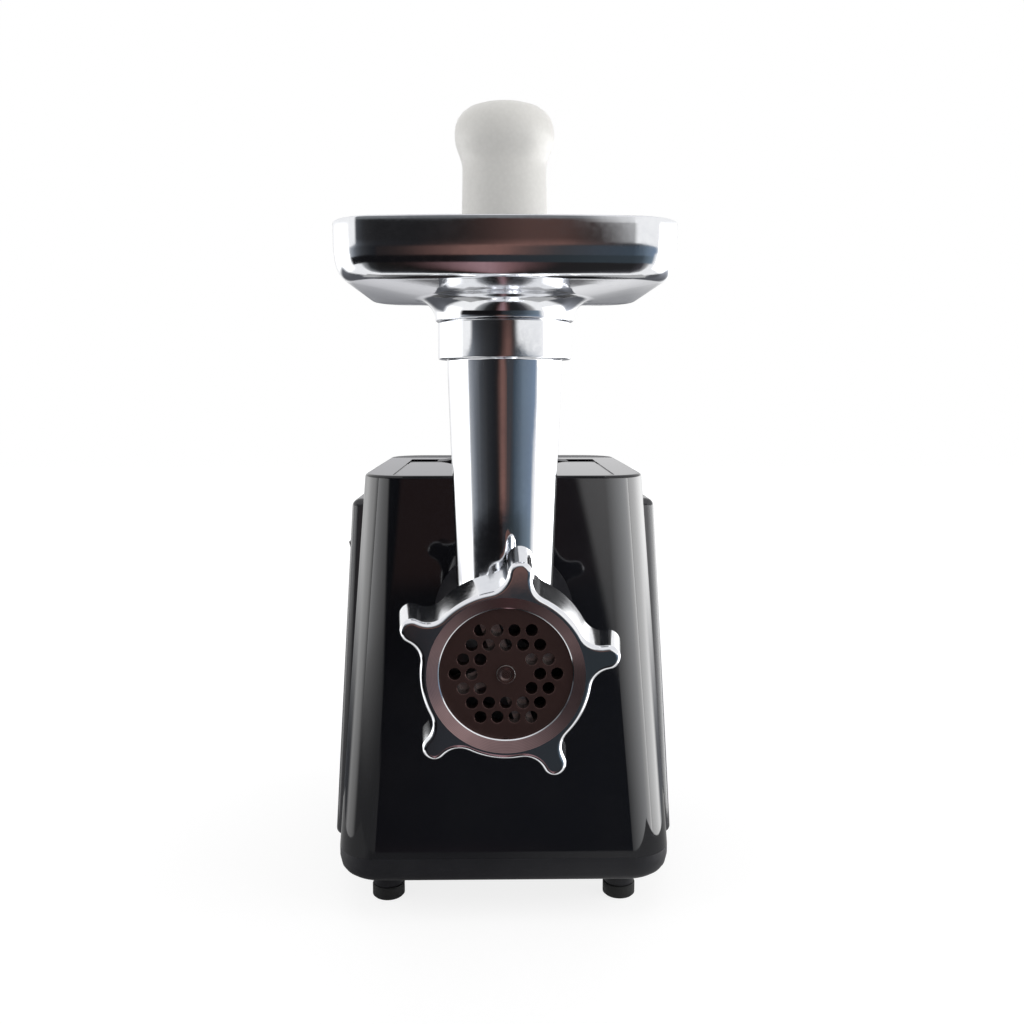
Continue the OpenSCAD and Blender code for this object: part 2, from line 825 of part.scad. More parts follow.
gland_r = 6.4;
gland_bore_r = 3.6;
gland_z = body_z + 12;
module cord_gland() {
    inner_d = body_bottom_d - 13;
    outer_d = body_bottom_d + gland_proud;
    color(rubber)
    difference() {
        union() {
            bar(gland_r, inner_d, outer_d, 0, gland_z);
            bar(gland_r + 2.4, outer_d - 2.4, outer_d, 0, gland_z);
        }
        bar(gland_bore_r, inner_d - cut, outer_d + cut, 0, gland_z);
    }
}

// ---- Head socket and lock ------------------------------------------------------------

lug_span = 22;
lug_r = spigot_r + 3;
lug_d = [9, 14];
lug_angles = [90, 210, 330];
socket_end = gearbox_front - seated;

// A wedge of a ring, in the X-Z plane round the barrel's axis
module wedge(r, angle, span) {
    translate([0, axis_z])
        intersection() {
            circle(r);
            polygon([[0, 0], 2 * r * [cos(angle - span / 2), sin(angle - span / 2)],
                2.4 * r * [cos(angle), sin(angle)], 2 * r * [cos(angle + span / 2), sin(angle + span / 2)]]);
        }
}

module head_socket_ring() {
    color(matte_black)
    difference() {
        union() {
            bar(socket_r, -socket_proud, socket_end);
            bar(socket_flange_r, -socket_proud, -seated);
        }
        bar(spigot_r + running, -socket_proud - cut, socket_end + cut);
        bar(lug_r + part_gap, lug_d[0] - part_gap, lug_d[1] + part_gap);
        // entry slots for the lugs
        for (a = lug_angles)
            between(-socket_proud - cut, lug_d[0])
                wedge(lug_r + part_gap, a - twist, lug_span + 3);
    }
}

lock_stem_r = 2.5;
module lock_button() {
    color(gloss_black)
    union() {
        bar(lock_r, -2.6, wall + 1.5, lock_at[0], lock_at[1]);
        bar(lock_r + 1.6, wall + part_gap, wall + 2, lock_at[0], lock_at[1]);
        // stem that runs in the gearbox's front plate
        bar(lock_stem_r, wall + 1, gearbox_front + 2, lock_at[0], lock_at[1]);
    }
}

// ---- Gearbox -------------------------------------------------------------------------

plate_margin = 9;
post_r = 4;
post_line = first_line - 60;
post_places = [
    output_at + [34, 27],
    output_at + [-34, 27],
    step_from(second_at, second_module * (second_teeth / 2 + 1) + post_r + 2, post_line),
    motor_at + [22, 20]
];
module gearbox_outline() {
    hull() {
        for (p = post_places)
            translate(p)
                circle(post_r + 2, $fn = 32);
        translate(motor_at)
            circle(plate_margin, $fn = 32);
    }
}

module gearbox_front_plate() {
    color(steel)
    difference() {
        union() {
            between(gearbox_front, gearbox_front + gearbox_plate_t)
                gearbox_outline();
            for (p = post_places)
                bar(post_r, gearbox_front + gearbox_plate_t - 0.5, gearbox_rear - seated, p[0], p[1]);
        }
        bar(output_bush_r + seated, gearbox_front - cut, gearbox_front + gearbox_plate_t + cut);
        for (p = [first_at, second_at])
            bar(pin_r + seated, gearbox_front - cut, gearbox_front + gearbox_plate_t + cut, p[0], p[1]);
        bar(lock_stem_r + part_gap, gearbox_front - cut, gearbox_front + gearbox_plate_t + cut,
            lock_at[0], lock_at[1]);
    }
}

module gearbox_rear_plate() {
    color(steel)
    difference() {
        between(gearbox_rear, gearbox_rear + gearbox_plate_t)
            gearbox_outline();
        bar(output_stub_r + running, gearbox_rear - cut, gearbox_rear + gearbox_plate_t + cut);
        for (p = [first_at, second_at])
            bar(pin_r + seated, gearbox_rear - cut, gearbox_rear + gearbox_plate_t + cut, p[0], p[1]);
        bar(shaft_r + 2, gearbox_rear - cut, gearbox_rear + gearbox_plate_t + cut, motor_at[0], motor_at[1]);
    }
}

module gear_pins() {
    color(steel)
    for (p = [first_at, second_at])
        bar(pin_r, gearbox_front, gearbox_rear + gearbox_plate_t, p[0], p[1]);
}

module output_bush() {
    color(brass)
    pipe(output_bush_r, hub_r + running, gearbox_front - 1, gearbox_front + gearbox_plate_t + 1);
}

module output_gear() {
    color(steel)
    between(output_gear_d[0], output_gear_d[1])
        translate(output_at)
            difference() {
                gear_outline(output_teeth, output_module, output_turn);
                circle(hub_r - 2 + seated);
                for (a = [0 : 60 : 300])
                    translate(24 * [cos(a), sin(a)])
                        circle(4.5);
            }
}

shank_flat = 12;
shank_d = [-2.4, 19];
socket_mouth = 5;
module drive_socket() {
    color(steel)
    difference() {
        union() {
            bar(hub_r, socket_mouth, output_gear_d[0] - seated);
            bar(hub_r - 2, output_gear_d[0] - cut, output_gear_d[1] + 3);
            bar(output_stub_r, output_gear_d[1], gearbox_rear + gearbox_plate_t);
        }
        between(socket_mouth - cut, shank_d[1] + 1)
            translate([0, axis_z])
                square(shank_flat + 2 * seated, center = true);
    }
}

module second_gear() {
    color(nylon)
    difference() {
        union() {
            between(second_gear_d[0], second_gear_d[1])
                translate(second_at)
                    gear_outline(second_teeth, second_module, second_turn);
            between(output_gear_d[0], second_gear_d[0] + 0.5)
                translate(second_at)
                    gear_outline(second_pinion_teeth, output_module, second_pinion_turn);
        }
        bar(pin_r + running, output_gear_d[0] - cut, second_gear_d[1] + cut, second_at[0], second_at[1]);
    }
}

module first_gear() {
    color(nylon)
    difference() {
        union() {
            between(first_gear_d[0], first_gear_d[1])
                translate(first_at)
                    gear_outline(first_teeth, first_module, first_turn);
            between(second_gear_d[0], first_gear_d[0] + 0.5)
                translate(first_at)
                    gear_outline(first_pinion_teeth, second_module, first_pinion_turn);
        }
        bar(pin_r + running, second_gear_d[0] - cut, first_gear_d[1] + cut, first_at[0], first_at[1]);
    }
}

// ---- Motor ---------------------------------------------------------------------------

bearing_r = 9.5;
bearing_l = 7;
front_bracket_d = 63;
bracket_t = 3;
fan_d = [72, 78];
stator_d = [85, 85 + core_l];
coil_over = 6;
commutator_d = [stator_d[1] + 9, stator_d[1] + 20];
commutator_r = 10;
rear_bracket_d = commutator_d[1] + 3;
shaft_end = rear_bracket_d + bearing_l;
air_gap = 0.6;
bolt_r = 2;
bolt_edge = 4.5;
bolt_places = [
    for (x = [-1, 1], z = [-1, 1])
        motor_at + [x * (core_w / 2 - bolt_edge), z * (core_h / 2 - bolt_edge)]
];
winding_l = 6;
slot_depth = 7;
slot_w = 1.6;

module motor_shaft() {
    color(steel)
    union() {
        between(first_gear_d[0], first_gear_d[1] + 1)
            translate(motor_at)
                gear_outline(motor_teeth, first_module, motor_turn);
        bar(shaft_r, first_gear_d[1] + 0.5, shaft_end, motor_at[0], motor_at[1]);
    }
}

module armature_core() {
    color(steel)
    between(stator_d[0], stator_d[1])
        translate(motor_at)
            difference() {
                circle(armature_r);
                circle(shaft_r + seated);
                for (a = [0 : 30 : 330])
                    rotate(a)
                        translate([armature_r - slot_depth, -slot_w / 2])
                            square([slot_depth + cut, slot_w]);
            }
}

module armature_windings() {
    color(copper)
    for (d = [
        [stator_d[0] - winding_l, stator_d[0] - seated],
        [stator_d[1] + seated, stator_d[1] + winding_l]
    ])
        pipe(armature_r - 2, shaft_r + seated, d[0], d[1], motor_at[0], motor_at[1]);
}

module commutator() {
    color(copper)
    between(commutator_d[0], commutator_d[1])
        translate(motor_at)
            difference() {
                circle(commutator_r);
                circle(shaft_r + seated);
            }
}

module cooling_fan() {
    fan_r = 25;
    color(nylon)
    translate([motor_at[0], face_y + fan_d[1], motor_at[1]])
        rotate([90, 0, 0])
            difference() {
                union() {
                    cylinder(r = fan_r, h = 1.2);
                    cylinder(r = 8, h = fan_d[1] - fan_d[0]);
                    for (a = [0 : 30 : 330])
                        rotate(a)
                            translate([7, -0.6, 0])
                                cube([fan_r - 8, 1.2, fan_d[1] - fan_d[0]]);
                }
                translate([0, 0, -cut])
                    cylinder(r = shaft_r + seated, h = fan_d[1] - fan_d[0] + 2 * cut);
            }
}

module motor_bearings() {
    color(steel)
    for (d = [front_bracket_d - 1, rear_bracket_d - 1])
        pipe(bearing_r, shaft_r + running, d, d + bearing_l, motor_at[0], motor_at[1]);
}

// Laminated core: a closed frame with one pole from the left and one from the right
yoke = 8;
core_corner_r = 7;
pole_h = 18;
pole_r = armature_r + air_gap + 3.4;
module stator_core() {
    color(steel)
    between(stator_d[0], stator_d[1])
        translate(motor_at)
            difference() {
                union() {
                    difference() {
                        rounded(core_w, core_h, core_corner_r);
                        rounded(core_w - 2 * yoke, core_h - 2 * yoke, core_corner_r / 2);
                    }
                    square([core_w - yoke, pole_h], center = true);
                    intersection() {
                        circle(pole_r);
                        square([core_w, pole_h * 1.7], center = true);
                    }
                }
                circle(armature_r + air_gap);
                for (p = bolt_places)
                    translate(p - motor_at)
                        circle(bolt_r + seated);
            }
}

// Two windings, one round the neck of each pole
module field_coils() {
    coil_w = core_w / 2 - yoke - pole_r - 0.2;
    coil_x = core_w / 2 - yoke - coil_w / 2 - 0.1;
    color(copper)
    for (x = [-1, 1])
        difference() {
            translate([motor_at[0] + x * coil_x, face_y + stator_d[0] + core_l / 2, motor_at[1]])
                rotate([0, 90, 0])
                    linear_extrude(coil_w, center = true)
                        rounded(core_h - 2 * yoke - 8, core_l + 2 * coil_over, 5);
            block(motor_at[0] - core_w, motor_at[0] + core_w, stator_d[0] - 0.2, stator_d[1] + 0.2,
                motor_at[1] - pole_h / 2 - 0.2, motor_at[1] + pole_h / 2 + 0.2);
        }
}

module motor_bracket(d, seat_d) {
    color(aluminium)
    difference() {
        union() {
            between(d, d + bracket_t)
                translate(motor_at)
                    difference() {
                        rounded(core_w, core_h, core_corner_r);
                        for (x = [-1, 1])
                            translate([x * 21, 0])
                                rounded(10, core_h - 22, 4);
                        for (p = bolt_places)
                            translate(p - motor_at)
                                circle(bolt_r + seated);
                    }
            bar(bearing_r + 2.5, seat_d, seat_d + bearing_l + 1, motor_at[0], motor_at[1]);
        }
        bar(bearing_r + seated, seat_d - cut, seat_d + bearing_l + 2 * cut, motor_at[0], motor_at[1]);
    }
}

module motor_front_bracket() {
    foot_r = 4;
    motor_bracket(front_bracket_d, front_bracket_d - 1.5);
    // feet that stand on the gearbox
    color(aluminium)
    for (x = [-1.5 * foot_r, 1.5 * foot_r])
        bar(foot_r, gearbox_rear + gearbox_plate_t + seated, front_bracket_d + 1,
            motor_at[0] + x, motor_at[1] + core_h / 2 - foot_r - bracket_t);
}

module motor_rear_bracket() {
    motor_bracket(rear_bracket_d, rear_bracket_d - 1.5);
}

module motor_bolts() {
    color(steel)
    for (p = bolt_places)
        union() {
            bar(bolt_r, front_bracket_d - 0.5, rear_bracket_d + bracket_t + 2, p[0], p[1]);
            between(rear_bracket_d + bracket_t + seated, rear_bracket_d + bracket_t + 3.2)
                translate(p)
                    circle(bolt_r * 1.9, $fn = 6);
        }
}

brush_w = 6;
brush_h = 7;
holder_wall = 1.2;
brush_l = 9;
brush_x = commutator_r + 0.1;
brush_d = (commutator_d[0] + commutator_d[1]) / 2;
holder_start = 12;
holder_end = 27;

// A block that reaches from x0 to x1 on one side of the motor's axis
module motor_block(side, x0, x1, d0, d1, half_h) {
    block(motor_at[0] + min(side * x0, side * x1), motor_at[0] + max(side * x0, side * x1),
        d0, d1, motor_at[1] - half_h, motor_at[1] + half_h);
}

module brush_holders() {
    color(brass)
    for (x = [-1, 1])
        difference() {
            motor_block(x, holder_start, holder_end, brush_d - brush_w / 2 - holder_wall,
                rear_bracket_d - seated, brush_h / 2 + holder_wall);
            motor_block(x, holder_start - cut, holder_end - holder_wall, brush_d - brush_w / 2 - seated,
                brush_d + brush_w / 2 + seated, brush_h / 2 + seated);
        }
}

module carbon_brushes() {
    color(carbon)
    for (x = [-1, 1])
        motor_block(x, brush_x, brush_x + brush_l,
            brush_d - brush_w / 2, brush_d + brush_w / 2, brush_h / 2);
}

module brush_springs() {
    length = holder_end - holder_wall - brush_x - brush_l - 2 * seated;
    color(steel)
    for (x = [-1, 1])
        translate([motor_at[0] + x * (brush_x + brush_l + seated), face_y + brush_d, motor_at[1]])
            rotate([0, 90 * x, 0])
                coil_spring(2.6, 0.8, length, 4);
}

// ---- Grinding head -------------------------------------------------------------------

lip_t = 3.2;
plate_front = -ring_reach + lip_t + 0.15;
plate_back = plate_front + plate_t;
mouth_floor = plate_back + 0.05;
mouth_d = plate_front + 0.45;
rear_wall = [-8, 2];
shank_r = 8;
bush_r = shank_r + 3;
tube_start = 23;
seat_r = collar_r - 3.2;
seat_h = 10;
key_r = 2;
function tube_r(h) =
    tube_foot_r + (tube_top_r - tube_foot_r) * (h - tube_start) / (tube_h - collar_h - tube_start);
function bore_r(h) = tube_r(h) - tube_wall;

module grinder_head() {
    color(aluminium)
    difference() {
        union() {
            bar(thread_r, mouth_d, -ring_reach + ring_l + 0.6);
            bar(barrel_r + 3.4, -ring_reach + ring_l + 0.6, -ring_reach + ring_l + 3.6);
            bar(barrel_r, -ring_reach + ring_l + 3, -16);
            bar(barrel_r - 2, -16.5, -socket_proud - part_gap);
            bar(spigot_r, -socket_proud - 2 * part_gap, spigot_l);
            for (a = lug_angles)
                between(lug_d[0], lug_d[1])
                    wedge(lug_r, a, lug_span);
            // feed tube with its collar
            translate([0, tube_y, axis_z])
                cylinder(r1 = tube_r(0), r2 = tube_top_r, h = tube_h - collar_h);
            translate([0, tube_y, tube_top_z - collar_h])
                cylinder(r = collar_r, h = collar_h);
        }
        bar(plate_r + running, mouth_d - cut, mouth_floor);
        bar(barrel_bore_r, mouth_floor - cut, rear_wall[0]);
        bar(bush_r + seated, rear_wall[0] - cut, rear_wall[1] + cut);
        bar(spigot_r - 4, rear_wall[1], spigot_l + cut);
        // tapering bore of the feed tube, and the seat of the tray's spigot
        translate([0, tube_y, axis_z + 8])
            cylinder(r1 = bore_r(8), r2 = bore_r(tube_h + cut), h = tube_h - 8 + cut);
        translate([0, tube_y, tube_top_z - seat_h])
            cylinder(r = seat_r + running, h = seat_h + cut);
        // groove for the plate's key
        bar(key_r + seated, mouth_d - cut, mouth_floor + 1, 0, axis_z - plate_r);
    }
}

// Small steel key in the mouth's floor that stops the plate from turning
module plate_key() {
    color(steel)
    bar(key_r, mouth_d + 1, mouth_floor + 1 - seated, 0, axis_z - plate_r);
}

module barrel_bush() {
    color(brass)
    pipe(bush_r, shank_r + running, rear_wall[0], rear_wall[1]);
}

flight_r = barrel_bore_r - 0.6;
auger_d = [-88.6, -10.4];
flight_span = 62;
auger_core_r = 11.5;
auger_pitch = 30;
spindle_r = 4.5;
spindle_l = 24;
spindle_root = 0.5;
spindle_play = 0.08;
neck_l = 14;
module auger() {
    length = auger_d[1] - auger_d[0];
    turns = (length - 4) / auger_pitch;
    color(aluminium)
    difference() {
        union() {
            translate([0, face_y + auger_d[1], axis_z])
                rotate([90, 0, 0]) {
                    cylinder(r1 = auger_core_r + 2.5, r2 = auger_core_r, h = length);
                    cylinder(r = flight_r, h = 3);
                    translate([0, 0, 2])
                        linear_extrude(
                            length - 4, twist = -360 * turns, slices = round(20 * turns), segments = 1
                        )
                            arc_band(auger_core_r - 2, flight_r, flight_span, 5);
                }
        }
        bar(spindle_r + seated, auger_d[0] - cut, auger_d[0] + spindle_l);
        bar(shank_r - 2 + seated, auger_d[1] - neck_l, auger_d[1] + cut);
    }
}

square_w = 8;
knife_d = [plate_back + 0.2, plate_back + 7.2];
centre_pin_r = 3.5;
module auger_spindle() {
    color(steel)
    union() {
        bar(spindle_r, auger_d[0] - spindle_root, auger_d[0] + spindle_l - seated);
        between(knife_d[0] + 0.2, auger_d[0] - seated)
            translate([0, axis_z])
                square(square_w - 2 * spindle_play, center = true);
        bar(centre_pin_r, plate_front - 0.9, knife_d[0] + cut);
    }
}

module drive_shank() {
    color(steel)
    union() {
        bar(shank_r - 2, auger_d[1] - neck_l + seated, auger_d[1] + cut);
        bar(shank_r, auger_d[1] + seated, rear_wall[1] + 1.5);
        between(rear_wall[1] + 1, shank_d[1])
            translate([0, axis_z])
                square(shank_flat, center = true);
    }
}

module thrust_washer() {
    color(nylon)
    pipe(shank_r + 8, shank_r + seated, auger_d[1] + seated, rear_wall[0] - part_gap);
}

// Four blades on a square hub, each with a sloping cutting edge
module cross_knife() {
    blade_r = barrel_bore_r - 0.8;
    hub = 8.4;
    thick = knife_d[1] - knife_d[0];
    color(steel)
    difference() {
        union() {
            bar(hub, knife_d[0], knife_d[1]);
            intersection() {
                bar(blade_r, knife_d[0], knife_d[1]);
                translate([0, face_y + knife_d[1], axis_z])
                    rotate([90, 0, 0])
                        for (a = [0 : 90 : 270])
                            rotate([0, 0, a + 20])
                                rotate([90, 0, 90])
                                    linear_extrude(blade_r + cut)
                                        polygon([
                                            [-3.6, thick], [3.2, thick], [3.2, thick - 2],
                                            [0.4, 1.2], [-3.6, 1.2]
                                        ]);
            }
        }
        between(knife_d[0] - cut, knife_d[1] + cut)
            translate([0, axis_z])
                square(square_w, center = true);
    }
}

// Hexagonal field of holes without the inner ring and the centre
plate_rings = 3;
hole_places = [
    for (i = [-plate_rings : plate_rings], j = [-plate_rings : plate_rings])
        let (far = max(abs(i), abs(j), abs(i + j)))
        if (far > 1 && far <= plate_rings)
            plate_pitch * [i + j / 2, j * sqrt(3) / 2]
];
module cutting_plate() {
    color(plate_steel)
    difference() {
        bar(plate_r, plate_front, plate_back);
        bar(centre_pin_r + running, plate_front - cut, plate_back + cut);
        for (p = hole_places)
            bar(plate_hole_d / 2, plate_front - cut, plate_back + cut, p[0], axis_z + p[1]);
        // notch over the key
        bar(key_r + part_gap, plate_front - cut, plate_back + cut, 0, axis_z - plate_r);
    }
}

// Points on an arc, from one angle to another
function arc(centre, r, from, to, steps) = [
    for (i = [0 : steps])
        let (a = from + (to - from) * i / steps)
        centre + r * [cos(a), sin(a)]
];

// Round lobe tips, joined to the ring by hollow flanks that run tangent into both
flank_r = 8;
tip_at = lobe_r - lobe_tip_r;
flank_far = ring_r + flank_r;
flank_x = (pow(flank_far, 2) - pow(lobe_tip_r + flank_r, 2) + pow(tip_at, 2)) / (2 * tip_at);
flank_y = sqrt(pow(flank_far, 2) - pow(flank_x, 2));
ring_a = atan2(flank_y, flank_x);
tip_a = atan2(flank_y, tip_at - flank_x);
module ring_outline() {
    one_lobe = [
        each arc([flank_x, -flank_y], flank_r, 180 - ring_a, tip_a, 8),
        each arc([tip_at, 0], lobe_tip_r, tip_a - 180 + 12, 168 - tip_a, 12),
        each arc([flank_x, flank_y], flank_r, -tip_a, ring_a - 180, 8),
        each arc([0, 0], ring_r, ring_a + 4, 360 / lobes - ring_a - 4, 8)
    ];
    polygon([
        for (i = [0 : lobes - 1], p = one_lobe)
            let (a = lobe_turn + i * 360 / lobes)
            [p[0] * cos(a) - p[1] * sin(a), p[0] * sin(a) + p[1] * cos(a)]
    ]);
}

module ring_nut() {
    bevel_r = opening_r + 4.6;
    back = -ring_reach + ring_l;
    color(aluminium)
    difference() {
        between(-ring_reach, back)
            translate([0, axis_z])
                ring_outline();
        bar(opening_r, -ring_reach - cut, -ring_reach + lip_t + cut);
        // thread space, a running fit on the barrel's mouth
        bar(thread_r + running, -ring_reach + lip_t, back + cut);
        // bevel of the opening
        translate([0, face_y - ring_reach - 0.01, axis_z])
            rotate([-90, 0, 0])
                cylinder(r1 = bevel_r, r2 = opening_r, h = 2.3);
    }
}

// ---- Hopper and pusher ---------------------------------------------------------------

// Outline of the tray, drawn in by an inset, with a bowed front
module tray_outline(inset) {
    half = tray_w / 2 - tray_corner_r;
    rounded(tray_w - 2 * inset, tray_l - 2 * inset, tray_corner_r - inset / 2);
    polygon([for (i = [-8 : 8]) [half * i / 8, inset - tray_l / 2 - tray_bow * (1 - pow(i / 8, 2))]]);
}

module tray_level(z, inset) {
    translate([0, tube_y, z])
        linear_extrude(0.01)
            tray_outline(inset);
}

neck_r = collar_r + 0.9;
bowl_r = 38;
bowl_z = tube_top_z + 9.4;
sweep_h = 11;
tray_step = 0.05;
module tray_bowl(inset, lift) {
    wall_z = bowl_z + 2.2 + lift + sweep_h;
    hull() {
        for (a = [0, 30, 55, 90])
            tray_level(wall_z - sweep_h * cos(a), inset + 8.5 * (1 - sin(a)) + tray_step, $fn = 48);
        translate([0, tube_y, bowl_z + lift])
            cylinder(r = bowl_r, h = 0.5);
    }
    // upright wall above the sweep
    translate([0, tube_y, wall_z - 0.2])
        linear_extrude(rim_z - wall_z + 0.2 + 2 * lift)
            tray_outline(inset);
}

module hopper_tray() {
    neck_z = tube_top_z + part_gap;
    hollow = bowl_z - neck_z;
    flare_r = bowl_r - 0.3;
    color(aluminium)
    difference() {
        union() {
            tray_bowl(0, 0);
            // neck that flares into the bowl along an arc
            translate([0, tube_y, neck_z])
                rotate_extrude()
                    difference() {
                        translate([bore_r(tube_h) - 2, 0])
                            square([flare_r - bore_r(tube_h) + 2, hollow + 1]);
                        translate([flare_r, 0])
                            scale([(flare_r - neck_r) / hollow, 1])
                                circle(hollow);
                    }
            // spigot in the collar
            translate([0, tube_y, tube_top_z - seat_h + part_gap])
                cylinder(r = seat_r, h = seat_h + 2);
        }
        tray_bowl(tray_t, tray_t);
        translate([0, tube_y, tube_top_z - seat_h - cut])
            cylinder(r = bore_r(tube_h), h = seat_h + tray_h);
        // funnel from the floor into the throat
        translate([0, tube_y, bowl_z + tray_t - 6])
            cylinder(r1 = bore_r(tube_h) - 0.01, r2 = bowl_r - 6, h = 6.01);
    }
}

// Turned outline of the pusher: stem, waist and domed knob, hollow from below
module pusher() {
    top = rim_z + pusher_rise;
    foot = axis_z + pusher_foot;
    foot_r = bore_r(pusher_foot) - 0.25;
    knob_z = top - 10.5;
    waist_z = top - 23;
    waist_r = pusher_r - 0.5;
    color(white_plastic)
    translate([0, tube_y, 0])
        rotate_extrude()
            difference() {
                union() {
                    polygon([
                        [0, foot], [foot_r - 1.5, foot], [foot_r, foot + 1.5], [foot_r, foot + 6],
                        [pusher_r, rim_z], [waist_r, waist_z],
                        for (a = [0 : 15 : 90])
                            [waist_r + (pusher_knob_r - waist_r) * (1 - cos(a * 2)) / 2,
                                waist_z + (knob_z - waist_z) * a / 90],
                        for (a = [0 : 15 : 75])
                            [pusher_knob_r - 8 + 8 * cos(a), knob_z + 9.2 * sin(a)],
                        [pusher_knob_r - 8, top - 1.2], [7, top - 0.4], [0, top]
                    ]);
                }
                polygon([
                    [-cut, foot - cut], [foot_r - wall, foot - cut], [pusher_r - wall, rim_z],
                    [waist_r - wall, waist_z], [waist_r - 2 * wall, knob_z], [-cut, knob_z]
                ]);
            }
}

housing_shell();
rear_cover();
base_tray();
legs();
rubber_feet();
base_screws();
cover_screws();
top_panel();
carry_handle();
side_panel_left();
side_panel_right();
head_socket_ring();
lock_button();
rocker_bezel();
power_rocker();
switch_body();
reverse_button();
reverse_switch();
cord_gland();
gearbox_front_plate();
gearbox_rear_plate();
gear_pins();
output_bush();
output_gear();
drive_socket();
second_gear();
first_gear();
motor_shaft();
armature_core();
armature_windings();
commutator();
cooling_fan();
motor_bearings();
stator_core();
field_coils();
motor_front_bracket();
motor_rear_bracket();
motor_bolts();
brush_holders();
carbon_brushes();
brush_springs();
grinder_head();
plate_key();
barrel_bush();
auger();
auger_spindle();
drive_shank();
thrust_washer();
cross_knife();
cutting_plate();
ring_nut();
hopper_tray();
pusher();
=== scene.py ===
import json
import logging
import math
from dataclasses import dataclass, field
from enum import Enum
from typing import Callable, Iterable, Sequence

import bmesh
import bpy
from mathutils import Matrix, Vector

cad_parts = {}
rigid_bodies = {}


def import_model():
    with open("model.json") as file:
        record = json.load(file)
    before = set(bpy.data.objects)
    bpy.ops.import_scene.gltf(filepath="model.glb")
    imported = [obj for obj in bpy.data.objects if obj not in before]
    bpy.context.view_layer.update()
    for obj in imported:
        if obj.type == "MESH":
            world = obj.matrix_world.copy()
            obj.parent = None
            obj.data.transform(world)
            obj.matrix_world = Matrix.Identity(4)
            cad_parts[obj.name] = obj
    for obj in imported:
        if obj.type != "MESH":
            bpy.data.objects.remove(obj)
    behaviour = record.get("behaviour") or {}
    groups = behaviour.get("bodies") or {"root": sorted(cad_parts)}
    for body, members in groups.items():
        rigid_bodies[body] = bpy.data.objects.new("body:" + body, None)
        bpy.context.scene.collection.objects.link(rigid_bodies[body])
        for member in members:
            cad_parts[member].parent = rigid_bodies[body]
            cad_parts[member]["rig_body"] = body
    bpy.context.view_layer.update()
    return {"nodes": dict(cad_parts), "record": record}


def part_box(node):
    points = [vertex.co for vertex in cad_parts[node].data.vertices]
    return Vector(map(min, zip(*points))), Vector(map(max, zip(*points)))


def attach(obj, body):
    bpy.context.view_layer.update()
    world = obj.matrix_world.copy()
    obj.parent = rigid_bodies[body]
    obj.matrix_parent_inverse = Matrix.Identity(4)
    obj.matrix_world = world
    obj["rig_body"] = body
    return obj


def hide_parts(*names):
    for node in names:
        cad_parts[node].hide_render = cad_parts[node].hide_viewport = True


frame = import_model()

MM = 0.001
log = logging.getLogger("meat_grinder")

Colour = tuple[float, float, float]
Pair = tuple[float, float]
Loop = list[bmesh.types.BMEdge]


# ---- Shader maths ----


class Value:
    """An output of a shader node that Python arithmetic can work on."""

    def __init__(self, graph: "Graph", link: bpy.types.NodeSocket) -> None:
        """Wraps an output socket of a graph's node."""
        self.graph = graph
        self.link = link

    def __add__(self, other: "Term") -> "Value":
        """This value plus another."""
        return self.graph.math("ADD", self, other)

    def __sub__(self, other: "Term") -> "Value":
        """This value less another."""
        return self.graph.math("SUBTRACT", self, other)

    def __rsub__(self, other: "Term") -> "Value":
        """Another value less this one."""
        return self.graph.math("SUBTRACT", other, self)

    def __mul__(self, other: "Term") -> "Value":
        """This value times another."""
        return self.graph.math("MULTIPLY", self, other)

    __radd__, __rmul__ = __add__, __mul__


Term = Value | float


